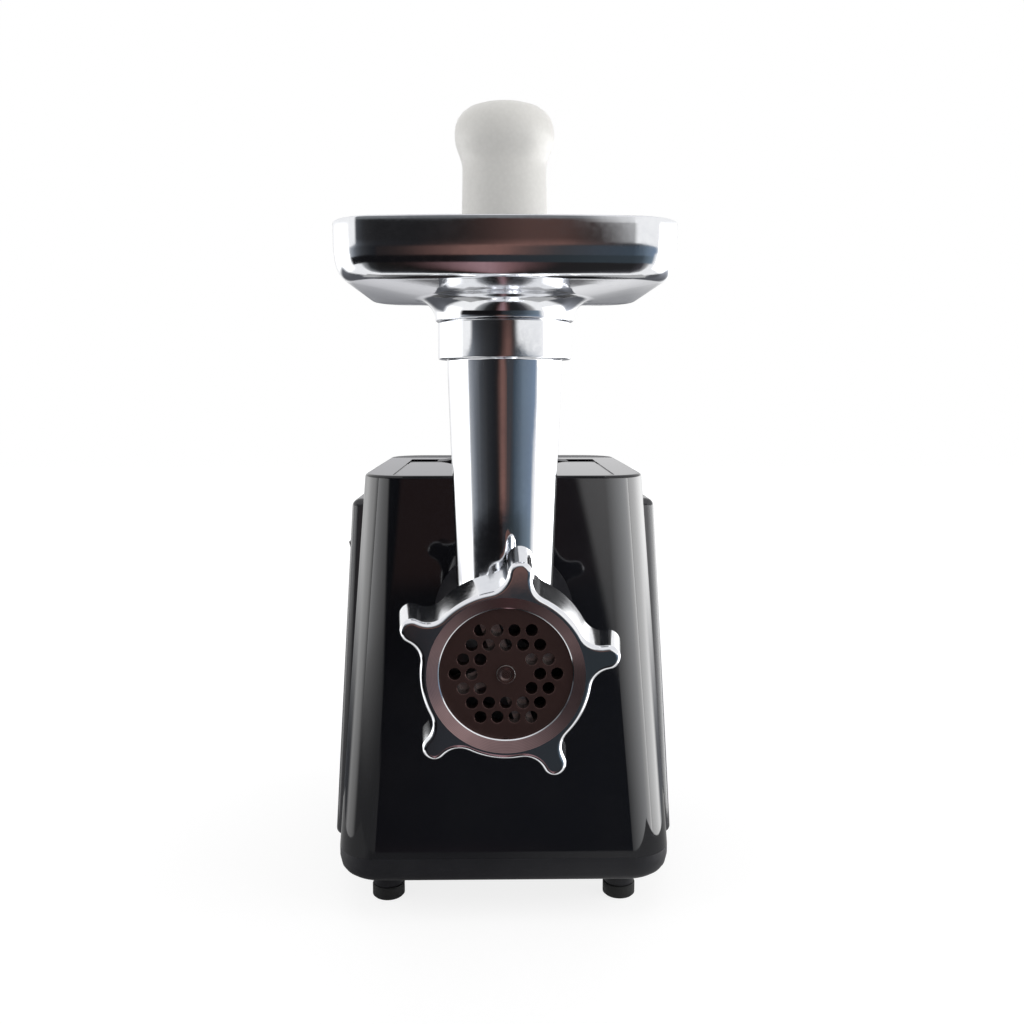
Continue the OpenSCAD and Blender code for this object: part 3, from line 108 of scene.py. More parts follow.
class Graph:
    """The node graph of one material, world or lamp, emptied for new nodes."""

    def __init__(self, owner: bpy.types.ID) -> None:
        """Takes over the node tree of its owner.

        Args:
            owner: The material, world or lamp.
        """
        owner.use_nodes = True
        self.tree = owner.node_tree
        self.tree.nodes.clear()

    def add(self, kind: str, settings: dict | None = None, inputs: dict | None = None,
            output: int | str = 0) -> Value:
        """Adds one node.

        Args:
            kind: The node's type.
            settings: Its properties; "stops" sets a ramp's positions and colours.
            inputs: The values or links of its sockets, by name or number.
            output: Which output to return.

        Returns:
            The chosen output.
        """
        node = self.tree.nodes.new(kind)
        for name, value in (settings or {}).items():
            if name == "stops":
                self._set_stops(node.color_ramp, value)
            else:
                setattr(node, name, value)
        for name, value in (inputs or {}).items():
            if isinstance(value, Value):
                self.tree.links.new(value.link, node.inputs[name])
            else:
                node.inputs[name].default_value = value
        return Value(self, node.outputs[output] if node.outputs else None)

    @staticmethod
    def _set_stops(ramp: bpy.types.ColorRamp, stops: Sequence[tuple[float, Colour]]) -> None:
        """Sets a ramp's positions and colours.

        Args:
            ramp: The ramp.
            stops: Pairs of a position and its colour, with rising positions.
        """
        while len(ramp.elements) > 1:
            ramp.elements.remove(ramp.elements[-1])
        ramp.elements[0].position = stops[0][0]
        for number, (position, colour) in enumerate(stops):
            element = ramp.elements.new(position) if number else ramp.elements[0]
            element.color = (*colour, 1.0)

    def math(self, operation: str, first: Term, second: Term = 0.0) -> Value:
        """A Math node on one or two values."""
        return self.add("ShaderNodeMath", {"operation": operation}, {0: first, 1: second})

    def mix(self, share: Term, first: Value | Colour, second: Value | Colour) -> Value:
        """Two colours mixed by a share."""
        ends = [v if isinstance(v, Value) else (*v, 1.0) for v in (first, second)]
        return self.add("ShaderNodeMix", {"data_type": "RGBA"},
                        {"Factor": share, 6: ends[0], 7: ends[1]}, output=2)

    def step(self, value: Value, low: float, high: float) -> Value:
        """0 under low, 1 over high, and smooth between them."""
        return self.add("ShaderNodeMapRange", {"interpolation_type": "SMOOTHSTEP"},
                        {"Value": value, "From Min": low, "From Max": high})

    def place(self) -> Value:
        """The point's place in the frame, in metres."""
        return self.add("ShaderNodeTexCoord", output="Object")

    def axes(self, vector: Value) -> list[Value]:
        """The X, Y and Z of a vector."""
        split = self.add("ShaderNodeSeparateXYZ", None, {"Vector": vector})
        return [Value(self, out) for out in split.link.node.outputs]

    def noise(self, vector: Value, scale: float, detail: float = 2.0) -> Value:
        """Smooth noise from 0 to 1 at a number of cells per metre."""
        return self.add("ShaderNodeTexNoise", {"noise_dimensions": "3D"},
                        {"Vector": vector, "Scale": scale, "Detail": detail}, output="Fac")

    def length(self, first: Value, second: Value) -> Value:
        """The distance that two crossing offsets make."""
        return self.math("SQRT", first * first + second * second)

    def waves(self, value: Value, cells: float) -> Value:
        """Waves from 0 to 1 along a value, at a number of waves per metre."""
        return self.math("SINE", value * (cells * math.tau)) * 0.5 + 0.5


# ---- Finishes ----


class Pattern(Enum):
    """How a surface was made, which sets its marks."""

    CAST = "soft waves of polished die casting"
    TURNED = "rings round the barrel"
    LAMINATED = "thin sheets stacked along the motor"
    WOUND = "turns of wire"
    GRAINED = "fine moulded grain"
    MOULDED = "smooth moulding with faint sink and dust"


@dataclass(frozen=True)
class Finish:
    """One material of the machine.

    Attributes:
        slot: The record's material slot.
        colour: The main colour.
        shade: The colour that the pattern mixes in.
        metallic: 1 for bare metal, 0 otherwise.
        rough: The lowest and highest roughness.
        pattern: How the surface was made.
        height: Depth of the pattern's relief, in millimetres.
        size: Width of the pattern's marks, in millimetres.
        variant: Tells apart finishes of one slot.
        specular: Strength of a plastic's gloss.
    """

    slot: str
    colour: Colour
    shade: Colour
    metallic: float
    rough: Pair
    pattern: Pattern
    height: float
    size: float
    variant: str = "dressed"
    specular: float = 0.5

    @property
    def label(self) -> str:
        """The material's name."""
        return f"{self.slot}_{self.variant}"

    def material(self) -> bpy.types.Material:
        """The Blender material, made once.

        Returns:
            The material of this finish.
        """
        known = bpy.data.materials.get(self.label)
        if known:
            return known
        made = bpy.data.materials.new(self.label)
        graph = Graph(made)
        relief, mask = self._marks(graph)
        bump = graph.add("ShaderNodeBump", None,
                         {"Height": relief, "Strength": 1.0, "Distance": self.height * MM})
        rough = self.rough[0] + mask * (self.rough[1] - self.rough[0])
        surface = graph.add("ShaderNodeBsdfPrincipled", None, {
            "Base Color": graph.mix(mask, self.colour, self.shade), "Metallic": self.metallic,
            "Roughness": rough, "Normal": bump, "Specular IOR Level": self.specular})
        graph.add("ShaderNodeOutputMaterial", None, {"Surface": surface})
        return made

    def _marks(self, graph: Graph) -> tuple[Value, Value]:
        """The pattern's relief and its mask.

        Args:
            graph: The material's graph.

        Returns:
            The relief for the bump and the mask for colour and roughness, both 0 to 1.
        """
        at = graph.place()
        cells = 1 / (self.size * MM)
        soft = graph.noise(at, cells)
        if self.pattern is Pattern.CAST:
            fine = graph.noise(at, cells * 9, detail=4)
            return soft + fine * 0.12, graph.step(soft * 0.6 + fine * 0.4, 0.3, 0.7)
        if self.pattern is Pattern.TURNED:
            x, _, z = graph.axes(at)
            rings = graph.waves(graph.length(x, z - AXIS_Z), cells)
            worn = graph.noise(at, scale=90, detail=3)
            return rings * 0.6 + soft * 0.4, graph.step(rings * 0.35 + worn * 0.65, 0.25, 0.75)
        if self.pattern is Pattern.LAMINATED:
            sheets = graph.waves(graph.axes(at)[1], cells)
            return sheets, sheets * 0.7 + graph.noise(at, scale=200) * 0.3
        if self.pattern is Pattern.WOUND:
            x, y, z = graph.axes(at)
            wires = graph.waves(x + y * 0.35 + z, cells)
            return wires, wires * 0.8 + graph.noise(at, scale=150) * 0.2
        if self.pattern is Pattern.GRAINED:
            grain = graph.add("ShaderNodeTexVoronoi", {"feature": "SMOOTH_F1"},
                              {"Vector": at, "Scale": cells}, output="Distance")
            worn = graph.noise(at, scale=35, detail=3)
            return grain, graph.step(worn * 0.7 + grain * 0.5, 0.35, 0.85)
        sink = graph.noise(at, scale=14, detail=1)
        dust = graph.step(graph.noise(at, scale=1500, detail=1), 0.76, 0.84)
        return sink + dust * 0.02, graph.step(soft, 0.35, 0.75) * 0.4 + dust * 0.6


def middle(node: str) -> Vector:
    """The middle of a CAD node's box, in metres."""
    low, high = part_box(node)
    return (low + high) / 2


AXIS_Z = middle("cutting_plate").z
TUBE_Y = middle("pusher").y

GLOSS_BLACK = Finish("gloss_black", (0.004, 0.0042, 0.0055), (0.006, 0.006, 0.007), 0.0, (0.035, 0.075),
                     Pattern.MOULDED, 0.05, 30)
MATTE_BLACK = Finish("matte_black", (0.011, 0.011, 0.014), (0.016, 0.016, 0.02), 0.0, (0.34, 0.5),
                     Pattern.GRAINED, 0.03, 0.7, specular=0.4)
# The side panels' black, paler than the other black mouldings: painted light from the right softbox. Their lower
# roughness is real.
SATIN_BLACK_PAINTED_LIGHT = Finish("matte_black", (0.028, 0.028, 0.031), (0.034, 0.034, 0.037), 0.0, (0.12, 0.2),
                     Pattern.MOULDED, 0.03, 20, variant="satin")
RUBBER = Finish("rubber", (0.01, 0.01, 0.011), (0.018, 0.018, 0.018), 0.0, (0.6, 0.78),
                Pattern.GRAINED, 0.02, 1.1)
ALUMINIUM = Finish("aluminium", (0.86, 0.87, 0.89), (0.8, 0.81, 0.84), 1.0, (0.045, 0.13), Pattern.CAST, 0.035, 22)
ROUGH_CAST = Finish("aluminium", (0.24, 0.24, 0.25), (0.17, 0.17, 0.18), 1.0, (0.36, 0.5), Pattern.CAST, 0.02, 22,
                    variant="rough")
# The ring nut's mouth cone: the nut's own aluminium painted dark brown, a painted reflection. Its turning rings are
# real.
LIP_PAINTED_REFLECTION = Finish("aluminium", (0.3, 0.2, 0.2), (0.22, 0.15, 0.15), 1.0, (0.28, 0.4),
                    Pattern.TURNED, 0.004, 0.5, variant="turned")
PLATE_STEEL = Finish("plate_steel", (0.15, 0.092, 0.085), (0.1, 0.062, 0.056), 0.9, (0.36, 0.5),
                     Pattern.TURNED, 0.006, 0.45)
STEEL = Finish("steel", (0.58, 0.57, 0.56), (0.46, 0.45, 0.44), 1.0, (0.2, 0.34), Pattern.CAST, 0.006, 3)
PIN_STEEL = Finish("steel", (0.3, 0.22, 0.2), (0.22, 0.16, 0.15), 1.0, (0.24, 0.38),
                   Pattern.TURNED, 0.006, 0.6, variant="turned")
# The cross knife's steel is painted near-black: painted shade in the plate's holes, through which the knife shows.
KNIFE_PAINTED_SHADE = Finish("steel", (0.02, 0.017, 0.016), (0.012, 0.01, 0.01), 1.0, (0.3, 0.45), Pattern.CAST, 0.006, 3,
                     variant="knife")
CORE_IRON = Finish("core_iron", (0.3, 0.3, 0.32), (0.1, 0.1, 0.11), 0.9, (0.35, 0.6), Pattern.LAMINATED, 0.08, 0.5)
COPPER = Finish("copper", (0.72, 0.33, 0.14), (0.4, 0.14, 0.05), 0.9, (0.2, 0.45), Pattern.WOUND, 0.12, 0.7)
BRASS = Finish("brass", (0.76, 0.57, 0.24), (0.62, 0.43, 0.16), 1.0, (0.2, 0.36), Pattern.CAST, 0.006, 3)
NYLON = Finish("nylon", (0.8, 0.77, 0.68), (0.74, 0.7, 0.6), 0.0, (0.36, 0.5), Pattern.GRAINED, 0.01, 0.8)
CARBON = Finish("carbon", (0.03, 0.03, 0.032), (0.05, 0.05, 0.05), 0.0, (0.5, 0.7), Pattern.GRAINED, 0.02, 0.5)
WHITE_PLASTIC = Finish("white_plastic", (0.78, 0.77, 0.74), (0.74, 0.73, 0.7), 0.0, (0.3, 0.42),
                       Pattern.GRAINED, 0.008, 1.4, specular=0.35)
BY_SLOT = {f.slot: f for f in (GLOSS_BLACK, MATTE_BLACK, RUBBER, ALUMINIUM, PLATE_STEEL, STEEL, CORE_IRON,
                               COPPER, BRASS, NYLON, CARBON, WHITE_PLASTIC)}


# ---- Shaping ----


def put(name: str, data: bpy.types.ID) -> bpy.types.Object:
    """Puts a new object of a mesh, lamp or camera into the scene.

    Args:
        name: The object's name.
        data: Its mesh, lamp or camera.

    Returns:
        The object.
    """
    made = bpy.data.objects.new(name, data)
    bpy.context.scene.collection.objects.link(made)
    return made


class Form:
    """A mesh that bmesh operators shape, in millimetres until it is placed."""

    def __init__(self) -> None:
        """Starts an empty mesh."""
        self.bm = bmesh.new()

    @classmethod
    def of_node(cls, node: str) -> "Form":
        """A welded copy of a CAD node, with each flat face in one piece.

        Args:
            node: The CAD node's name.

        Returns:
            The copy.
        """
        form = cls()
        form.bm.from_mesh(frame["nodes"][node].data)
        bmesh.ops.scale(form.bm, vec=(1 / MM,) * 3, verts=form.bm.verts)
        bmesh.ops.remove_doubles(form.bm, verts=form.bm.verts, dist=0.002)
        bmesh.ops.dissolve_limit(form.bm, angle_limit=math.radians(0.3), use_dissolve_boundaries=False,
                                 verts=form.bm.verts, edges=form.bm.edges)
        return form

    @classmethod
    def turned(cls, profile: Sequence[Pair], centre: Vector, axis: Vector, steps: int) -> "Form":
        """Turns a profile round an axis.

        Args:
            profile: Points as radius and place along the axis; it closes on itself or on the axis.
            centre: The point that places along the axis are measured from.
            axis: The axis.
            steps: Number of steps in the full turn.

        Returns:
            The closed form.
        """
        form = cls()
        out = axis.orthogonal().normalized()
        verts = [form.bm.verts.new(centre + out * r + axis * h) for r, h in profile]
        edges = [form.bm.edges.new(pair) for pair in zip(verts, verts[1:] + verts[:1])
                 if any((end.co - centre).cross(axis).length > 1e-6 for end in pair)]
        bmesh.ops.spin(form.bm, geom=verts + edges, cent=centre, axis=axis, angle=math.tau,
                       steps=steps, use_merge=True)
        bmesh.ops.remove_doubles(form.bm, verts=form.bm.verts, dist=1e-4)
        return form.closed()

    def closed(self) -> "Form":
        """Turns every face outwards."""
        bmesh.ops.recalc_face_normals(self.bm, faces=self.bm.faces)
        return self

    def level(self, z: float, width: float, depth: float, radius: float, centre: Vector, bow: float = 0.0) -> Loop:
        """A level loop with round corners.

        Args:
            z: Height.
            width: Size along X.
            depth: Size along Y.
            radius: Corner radius; half the width or more makes a full circle.
            centre: Middle of the loop in X and Y.
            bow: How far the front side bows out.

        Returns:
            The loop's edges.
        """
        known = set(self.bm.edges)
        steps, straight = 8, 7  # segments in a corner, and points inside a straight side
        if radius * 2 >= width:
            count = 4 * (steps + 1 + straight)
            circle = bmesh.ops.create_circle(self.bm, segments=count, radius=width / 2)["verts"]
            bmesh.ops.translate(self.bm, vec=(centre.x, centre.y, z), verts=circle)
            return [e for e in self.bm.edges if e not in known]
        faces = set(self.bm.faces)
        verts = bmesh.ops.create_grid(self.bm, x_segments=1, y_segments=1, size=0.5)["verts"]
        bmesh.ops.scale(self.bm, vec=(width, depth, 1), verts=verts)
        bmesh.ops.translate(self.bm, vec=(centre.x, centre.y, z), verts=verts)
        bmesh.ops.bevel(self.bm, geom=verts, affect="VERTICES", offset=radius, segments=steps,
                        profile=0.5, material=-1)
        loop = [e for e in self.bm.edges if e not in known]
        sides = sorted(loop, key=lambda e: e.calc_length())[-4:]
        bmesh.ops.subdivide_edges(self.bm, edges=sides, cuts=straight)
        bmesh.ops.delete(self.bm, geom=[f for f in self.bm.faces if f not in faces], context="FACES_ONLY")
        loop = [e for e in self.bm.edges if e not in known]
        half = width / 2 - radius
        for vert in {v for e in loop for v in e.verts}:
            if vert.co.y < centre.y - depth / 2 + 1e-3:
                vert.co.y -= bow * (1 - min(1.0, abs(vert.co.x - centre.x) / half) ** 2)
        return loop

    def skin(self, loops: Sequence[Loop]) -> "Form":
        """Covers a stack of loops with faces, and joins its last loop to its first.

        Args:
            loops: The loops in order.

        Returns:
            This form.
        """
        for first, second in zip(loops, [*loops[1:], loops[0]]):
            bmesh.ops.bridge_loops(self.bm, edges=first + second)
        return self.closed()

    def prism(self, outline: Iterable[Vector], along: Vector) -> "Form":
        """Extrudes a flat outline.

        Args:
            outline: The outline's corners.
            along: Direction and length.

        Returns:
            This form.
        """
        face = self.bm.faces.new([self.bm.verts.new(p) for p in outline])
        made = bmesh.ops.extrude_face_region(self.bm, geom=[face], use_keep_orig=True)["geom"]
        bmesh.ops.translate(self.bm, vec=along, verts=[g for g in made if isinstance(g, bmesh.types.BMVert)])
        return self.closed()

    def bevel(self, width: float, segments: int, angle: float,
              where: Callable[[Vector], bool] = lambda middle: True) -> "Form":
        """Rounds sharp edges.

        Args:
            width: Width of the rounding.
            segments: Its steps.
            angle: Edges that turn by more than this many degrees are sharp.
            where: Picks edges by their middle.

        Returns:
            This form.
        """
        sharp = [e for e in self.bm.edges if len(e.link_faces) == 2
                 and e.calc_face_angle(0) > math.radians(angle)
                 and where((e.verts[0].co + e.verts[1].co) / 2)]
        bmesh.ops.bevel(self.bm, geom=sharp, offset=width, segments=segments, profile=0.5,
                        affect="EDGES", material=-1, clamp_overlap=True)
        return self

    def cut(self, other: "Form") -> "Form":
        """Takes another solid form's space away from this one.

        Args:
            other: The other form, which is used up.

        Returns:
            This form.
        """
        pair = []
        for form in (self, other):
            mesh = bpy.data.meshes.new("scratch")
            form.bm.to_mesh(mesh)
            form.bm.free()
            pair.append(put("scratch", mesh))
        boolean = pair[0].modifiers.new("cut", "BOOLEAN")
        boolean.object, boolean.operation, boolean.solver = pair[1], "DIFFERENCE", "EXACT"
        bpy.context.view_layer.update()
        result = bpy.data.meshes.new_from_object(pair[0].evaluated_get(bpy.context.evaluated_depsgraph_get()))
        self.bm = bmesh.new()
        self.bm.from_mesh(result)
        bmesh.ops.remove_doubles(self.bm, verts=self.bm.verts, dist=1e-4)
        for scratch in pair:
            bpy.data.objects.remove(scratch)
        return self

    def place(self, name: str, body: str, finishes: Finish | Sequence[Finish], replaces: Sequence[str],
              smooth: float = 32.0) -> None:
        """Makes the piece from the mesh, dresses it and lets it ride on its body.

        Args:
            name: The piece's name.
            body: The body that it moves with.
            finishes: Its finish, or one for each material number on the faces.
            replaces: The CAD nodes that it stands for.
            smooth: Edges that turn by less than this many degrees are shaded smooth.
        """
        coats = [finishes] if isinstance(finishes, Finish) else list(finishes)
        bmesh.ops.scale(self.bm, vec=(MM,) * 3, verts=self.bm.verts)
        mesh = bpy.data.meshes.new(name)
        self.bm.to_mesh(mesh)
        self.bm.free()
        for coat in coats:
            mesh.materials.append(coat.material())
        mesh.shade_smooth()
        mesh.set_sharp_from_angle(angle=math.radians(smooth))
        piece = put(name, mesh)
        piece.modifiers.new("normals", "WEIGHTED_NORMAL").keep_sharp = True
        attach(piece, body)
        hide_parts(*replaces)
        log.info("%s: %d faces on %s", name, len(mesh.polygons), body)


def arc(centre: Pair, radius: float, start: float, end: float, steps: int) -> list[Pair]:
    """Points of an arc from a start to an end angle, in degrees, by a number of steps."""
    angles = [math.radians(start + (end - start) * i / steps) for i in range(steps + 1)]
    return [(centre[0] + radius * math.cos(a), centre[1] + radius * math.sin(a)) for a in angles]


def limits(node: str) -> tuple[Vector, Vector]:
    """The lowest and highest corner of a CAD node, in millimetres."""
    low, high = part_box(node)
    return low / MM, high / MM


X, Y, Z = Vector((1, 0, 0)), Vector((0, 1, 0)), Vector((0, 0, 1))


# ---- Sub-assemblies ----


@dataclass
class Body:
    """The moulded body: shell, rear cover and side panels. Sizes are in millimetres.

    Attributes:
        lip: Rounding of the top's outer edge.
        recess_w: Width of the recess in the top.
        recess_start: Depth behind the front face at which the recess starts.
        recess_end: Depth behind the front face at which it ends.
        split: Depth behind the front face of the seam between shell and cover.
        split_clear: Half the width beside the seam that stays sharp.
        top_half: Half the shell's width at its top.
        panel_gap: Gap between the shell's wall and a side panel.
        panel_out: How far a side panel stands out at its foot and at its top.
        panel_edge: Rounding of a side panel's outer edges.
        hole_edge: Rounding of the edges of the holes for the controls.
        bezel_gap: Play of the rocker's bezel in its hole, over both sides.
        button_gap: Play round the reverse button.
        cut: How far the cutters of those holes reach to each side.
        front: Place of the front face.
        top: Height of the shell's top.
    """

    lip: float = 1.5
    recess_w: float = 105.0
    recess_start: float = 5.0
    recess_end: float = 117.0
    split: float = 132.15
    split_clear: float = 0.3
    top_half: float = 67.0
    panel_gap: float = 0.03
    panel_out: Pair = (5.4, 8.7)
    panel_edge: float = 4.0
    hole_edge: float = 0.4
    bezel_gap: float = 0.06
    button_gap: float = 0.3
    cut: float = 20.0
    front: float = field(init=False)
    top: float = field(init=False)

    def __post_init__(self) -> None:
        """Takes the front and top planes from the shell."""
        low, high = limits("housing_shell")
        self.front, self.top = low.y, high.z

    def build(self) -> None:
        """Makes all the pieces of the body."""
        for node, finish in (("housing_shell", GLOSS_BLACK), ("rear_cover", MATTE_BLACK)):
            form = Form.of_node(node).bevel(self.lip, 4, 40, self._on_lip)
            form.place("moulded_" + node, "body", finish, (node,))
        self._side_panel(1)
        self._side_panel(-1)

    def _on_lip(self, middle: Vector) -> bool:
        """Is a point on the outer edge of the top, clear of the seam and the recess?

        Args:
            middle: The point, such as the middle of an edge.

        Returns:
            True where the edge is rounded.
        """
        depth = middle.y - self.front
        inside = abs(middle.x) < self.recess_w / 2 + 0.5 and self.recess_start < depth < self.recess_end + 0.5
        return middle.z > self.top - 0.05 and not inside and abs(depth - self.split) > self.split_clear

    def _side_panel(self, side: int) -> None:
        """Makes one side panel, which leans with the shell's wall.

        Args:
            side: 1 for the right panel, -1 for the left one.
        """
        node = "side_panel_right" if side > 0 else "side_panel_left"
        low, high = limits(node)
        inner = [self._wall_x(z) + self.panel_gap for z in (low.z, high.z)]
        outer = [x + out for x, out in zip(inner, self.panel_out)]
        form = Form()
        for vert in bmesh.ops.create_cube(form.bm, size=1.0)["verts"]:
            up = vert.co.z > 0
            vert.co = Vector((side * (outer if vert.co.x > 0 else inner)[up],
                              high.y if vert.co.y > 0 else low.y, high.z if up else low.z))
        form.closed().bevel(self.panel_edge, 6, 30, lambda at: side * at.x > self._wall_x(at.z) + 1)
        if side < 0:
            for hole in ("rocker_bezel", "reverse_button"):
                form.cut(self._cutter(hole))
            form.bevel(self.hole_edge, 2, 50, lambda at: -at.x > self._wall_x(at.z) + 4)
        # The panel's paler black is painted light from the right softbox.
        form.place("moulded_" + node, "body", SATIN_BLACK_PAINTED_LIGHT, (node,))

    def _cutter(self, hole: str) -> Form:
        """The form that cuts a control's hole: a block for the bezel, a round bar for the button.

        Args:
            hole: The CAD node that sits in the hole.

        Returns:
            The form, in place.
        """
        low, high = limits(hole)
        if hole == "rocker_bezel":
            cutter = Form()
            bmesh.ops.create_cube(cutter.bm, size=1.0)
            size = (2 * self.cut, high.y - low.y + self.bezel_gap, high.z - low.z + self.bezel_gap)
            bmesh.ops.scale(cutter.bm, vec=size, verts=cutter.bm.verts)
        else:
            radius = (high.z - low.z) / 2 + self.button_gap
            cutter = Form.turned([(0, -self.cut), (radius, -self.cut), (radius, self.cut), (0, self.cut)],
                                 Vector(), X, 48)
        bmesh.ops.translate(cutter.bm, vec=(low + high) / 2, verts=cutter.bm.verts)
        return cutter

    def _wall_x(self, z: float) -> float:
        """Half the shell's width at a height."""
        low, high = limits("housing_shell")
        return high.x + (self.top_half - high.x) * (z - low.z) / (high.z - low.z)


@dataclass
class Head:
    """The die-cast head with its ring nut, cutting plate and the auger's pin. Sizes are in millimetres.

    Attributes:
        lobes: Number of lobes on the ring nut.
        lobe_turn: Turn of the first lobe from the horizontal.
        hub: Outer radius of the ring nut.
        tip: Radius of a lobe's round tip.
        reach: Distance from the axis to a lobe's tip.
        flank: Radius of the hollow between a lobe's tip and the hub.
        edges: Rounding of the ring nut's front and back edges.
        draft: How much further out the ring nut's back stands than its front.
        opening: Radius of the opening that shows the plate.
        mouth: Width of the cone round the opening.
        lip: Thickness of the lip that holds the plate.
        thread: Radius of the bore behind the lip.
        collar: Height of the feed tube's collar, whose edges are rounded.
        pin_rings: Width and depth of the rings on the pin's end, from its edge inwards.
        pin_face: Radius inside which the pin's end is turned.
    """

    lobes: int = 5
    lobe_turn: float = 82.0
    hub: float = 32.2
    tip: float = 4.6
    reach: float = 43.3
    flank: float = 8.0
    edges: Pair = (2.0, 0.8)
    draft: float = 2.6
    opening: float = 25.0
    mouth: float = 4.6
    lip: float = 3.2
    thread: float = 29.06
    collar: float = 16.0
    pin_rings: tuple[Pair, ...] = ((0.35, 0.0), (1.2, 0.0), (0.3, -0.3), (0.35, 0.3))
    pin_face: float = 3.3

    def build(self) -> None:
        """Makes the head's casting, the ring nut, the cutting plate and the auger's pin."""
        self._casting()
        self._ring_nut()
        self._plate()
        self._pin()

    def _casting(self) -> None:
        """Makes the barrel with the feed tube and collar."""
        form = Form.of_node("grinder_head")
        top = limits("grinder_head")[1].z
        form.bevel(0.7, 3, 50, lambda at: at.z > top - self.collar)
        form.place("cast_head", "head", ALUMINIUM, ("grinder_head",), smooth=35)

    def _ring_nut(self) -> None:
        """Makes the ring nut: a lobed prism with rounded edges, bored out for plate and thread."""
        low, high = limits("ring_nut")
        length = high.y - low.y
        centre = Vector((0, low.y, AXIS_Z / MM))
        form = Form().prism([centre + X * x + Z * z for x, z in self._outline()], Y * length)
        for vert in form.bm.verts:
            if vert.co.y > high.y - 0.1:
                away = Vector((vert.co.x - centre.x, 0, vert.co.z - centre.z))
                vert.co += away.normalized() * self.draft
        form.bevel(self.edges[0], 5, 60, lambda at: at.y < low.y + 0.1)
        form.bevel(self.edges[1], 2, 60, lambda at: at.y > high.y - 0.1)
        mouth, back = self.opening + self.mouth, length + 2
        bore = [(0, -2), (mouth + 4, -2), (mouth, 0), (self.opening + 0.5, 2.05), (self.opening + 0.1, 2.3),
                (self.opening, 2.6), (self.opening, self.lip), (self.thread, self.lip), (self.thread, back), (0, back)]
        form.cut(Form.turned(bore, centre, Y, 128))
        # The mouth cone's faces take the dark brown painted reflection; the rest of the nut is plain aluminium.
        for face in form.bm.faces:
            away = [math.hypot(v.co.x - centre.x, v.co.z - centre.z) for v in face.verts]
            tilted = -0.95 < face.normal.y < -0.1
            face.material_index = int(tilted and self.opening + 0.3 < min(away) and max(away) < mouth + 0.3)
        form.place("lobed_ring_nut", "ring", (ALUMINIUM, LIP_PAINTED_REFLECTION), ("ring_nut",), smooth=21)

    def _outline(self) -> list[Pair]:
        """The ring nut's outline, with flanks that run smoothly into hub and tips.

        Returns:
            The outline's points in X and Z round the axis.
        """
        at = self.reach - self.tip
        near, far = self.tip + self.flank, self.hub + self.flank
        fx = (far ** 2 - near ** 2 + at ** 2) / (2 * at)
        fy = math.sqrt(far ** 2 - fx ** 2)
        rise = math.degrees(math.atan2(fy, fx))
        turn = math.degrees(math.atan2(fy, fx - at))
        pitch = 360 / self.lobes
        lobe = (arc((fx, -fy), self.flank, 180 - rise, 180 - turn, 8)[:-1]
                + arc((at, 0), self.tip, -turn, turn, 14)[:-1]
                + arc((fx, fy), self.flank, 180 + turn, 180 + rise, 8)[:-1]
                + arc((0, 0), self.hub, rise, pitch - rise, 12)[:-1])
        points = []
        for i in range(self.lobes):
            a = math.radians(self.lobe_turn + i * pitch)
            points += [(x * math.cos(a) - y * math.sin(a), x * math.sin(a) + y * math.cos(a)) for x, y in lobe]
        return points

    def _plate(self) -> None:
        """Makes the cutting plate with chamfered holes."""
        low, _ = limits("cutting_plate")
        form = Form.of_node("cutting_plate").bevel(0.1, 1, 60, lambda at: at.y < low.y + 0.05)
        form.place("drilled_plate", "plate", PLATE_STEEL, ("cutting_plate",))

    def _pin(self) -> None:
        """Makes the auger's pin, with a bright rim and a groove round its turned middle."""
        low, _ = limits("auger_spindle")
        form = Form.of_node("auger_spindle").bevel(0.5, 3, 45)
        end = [f for f in form.bm.faces if f.normal.y < -0.99 and f.calc_center_median().y < low.y + 0.02]
        for number, (width, depth) in enumerate(self.pin_rings):
            bmesh.ops.inset_region(form.bm, faces=end, thickness=width, depth=depth, use_even_offset=True)
            if number == 1:
                for face in form.bm.faces:
                    away = face.calc_center_median() - Vector((0, 0, AXIS_Z / MM))
                    if face.normal.y < -0.99 and math.hypot(away.x, away.z) < self.pin_face:
                        face.material_index = 1
        for face in end:
            face.material_index = 1
        body = frame["nodes"]["auger_spindle"]["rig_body"]
        form.place("turned_pin", body, (STEEL, PIN_STEEL), ("auger_spindle",))


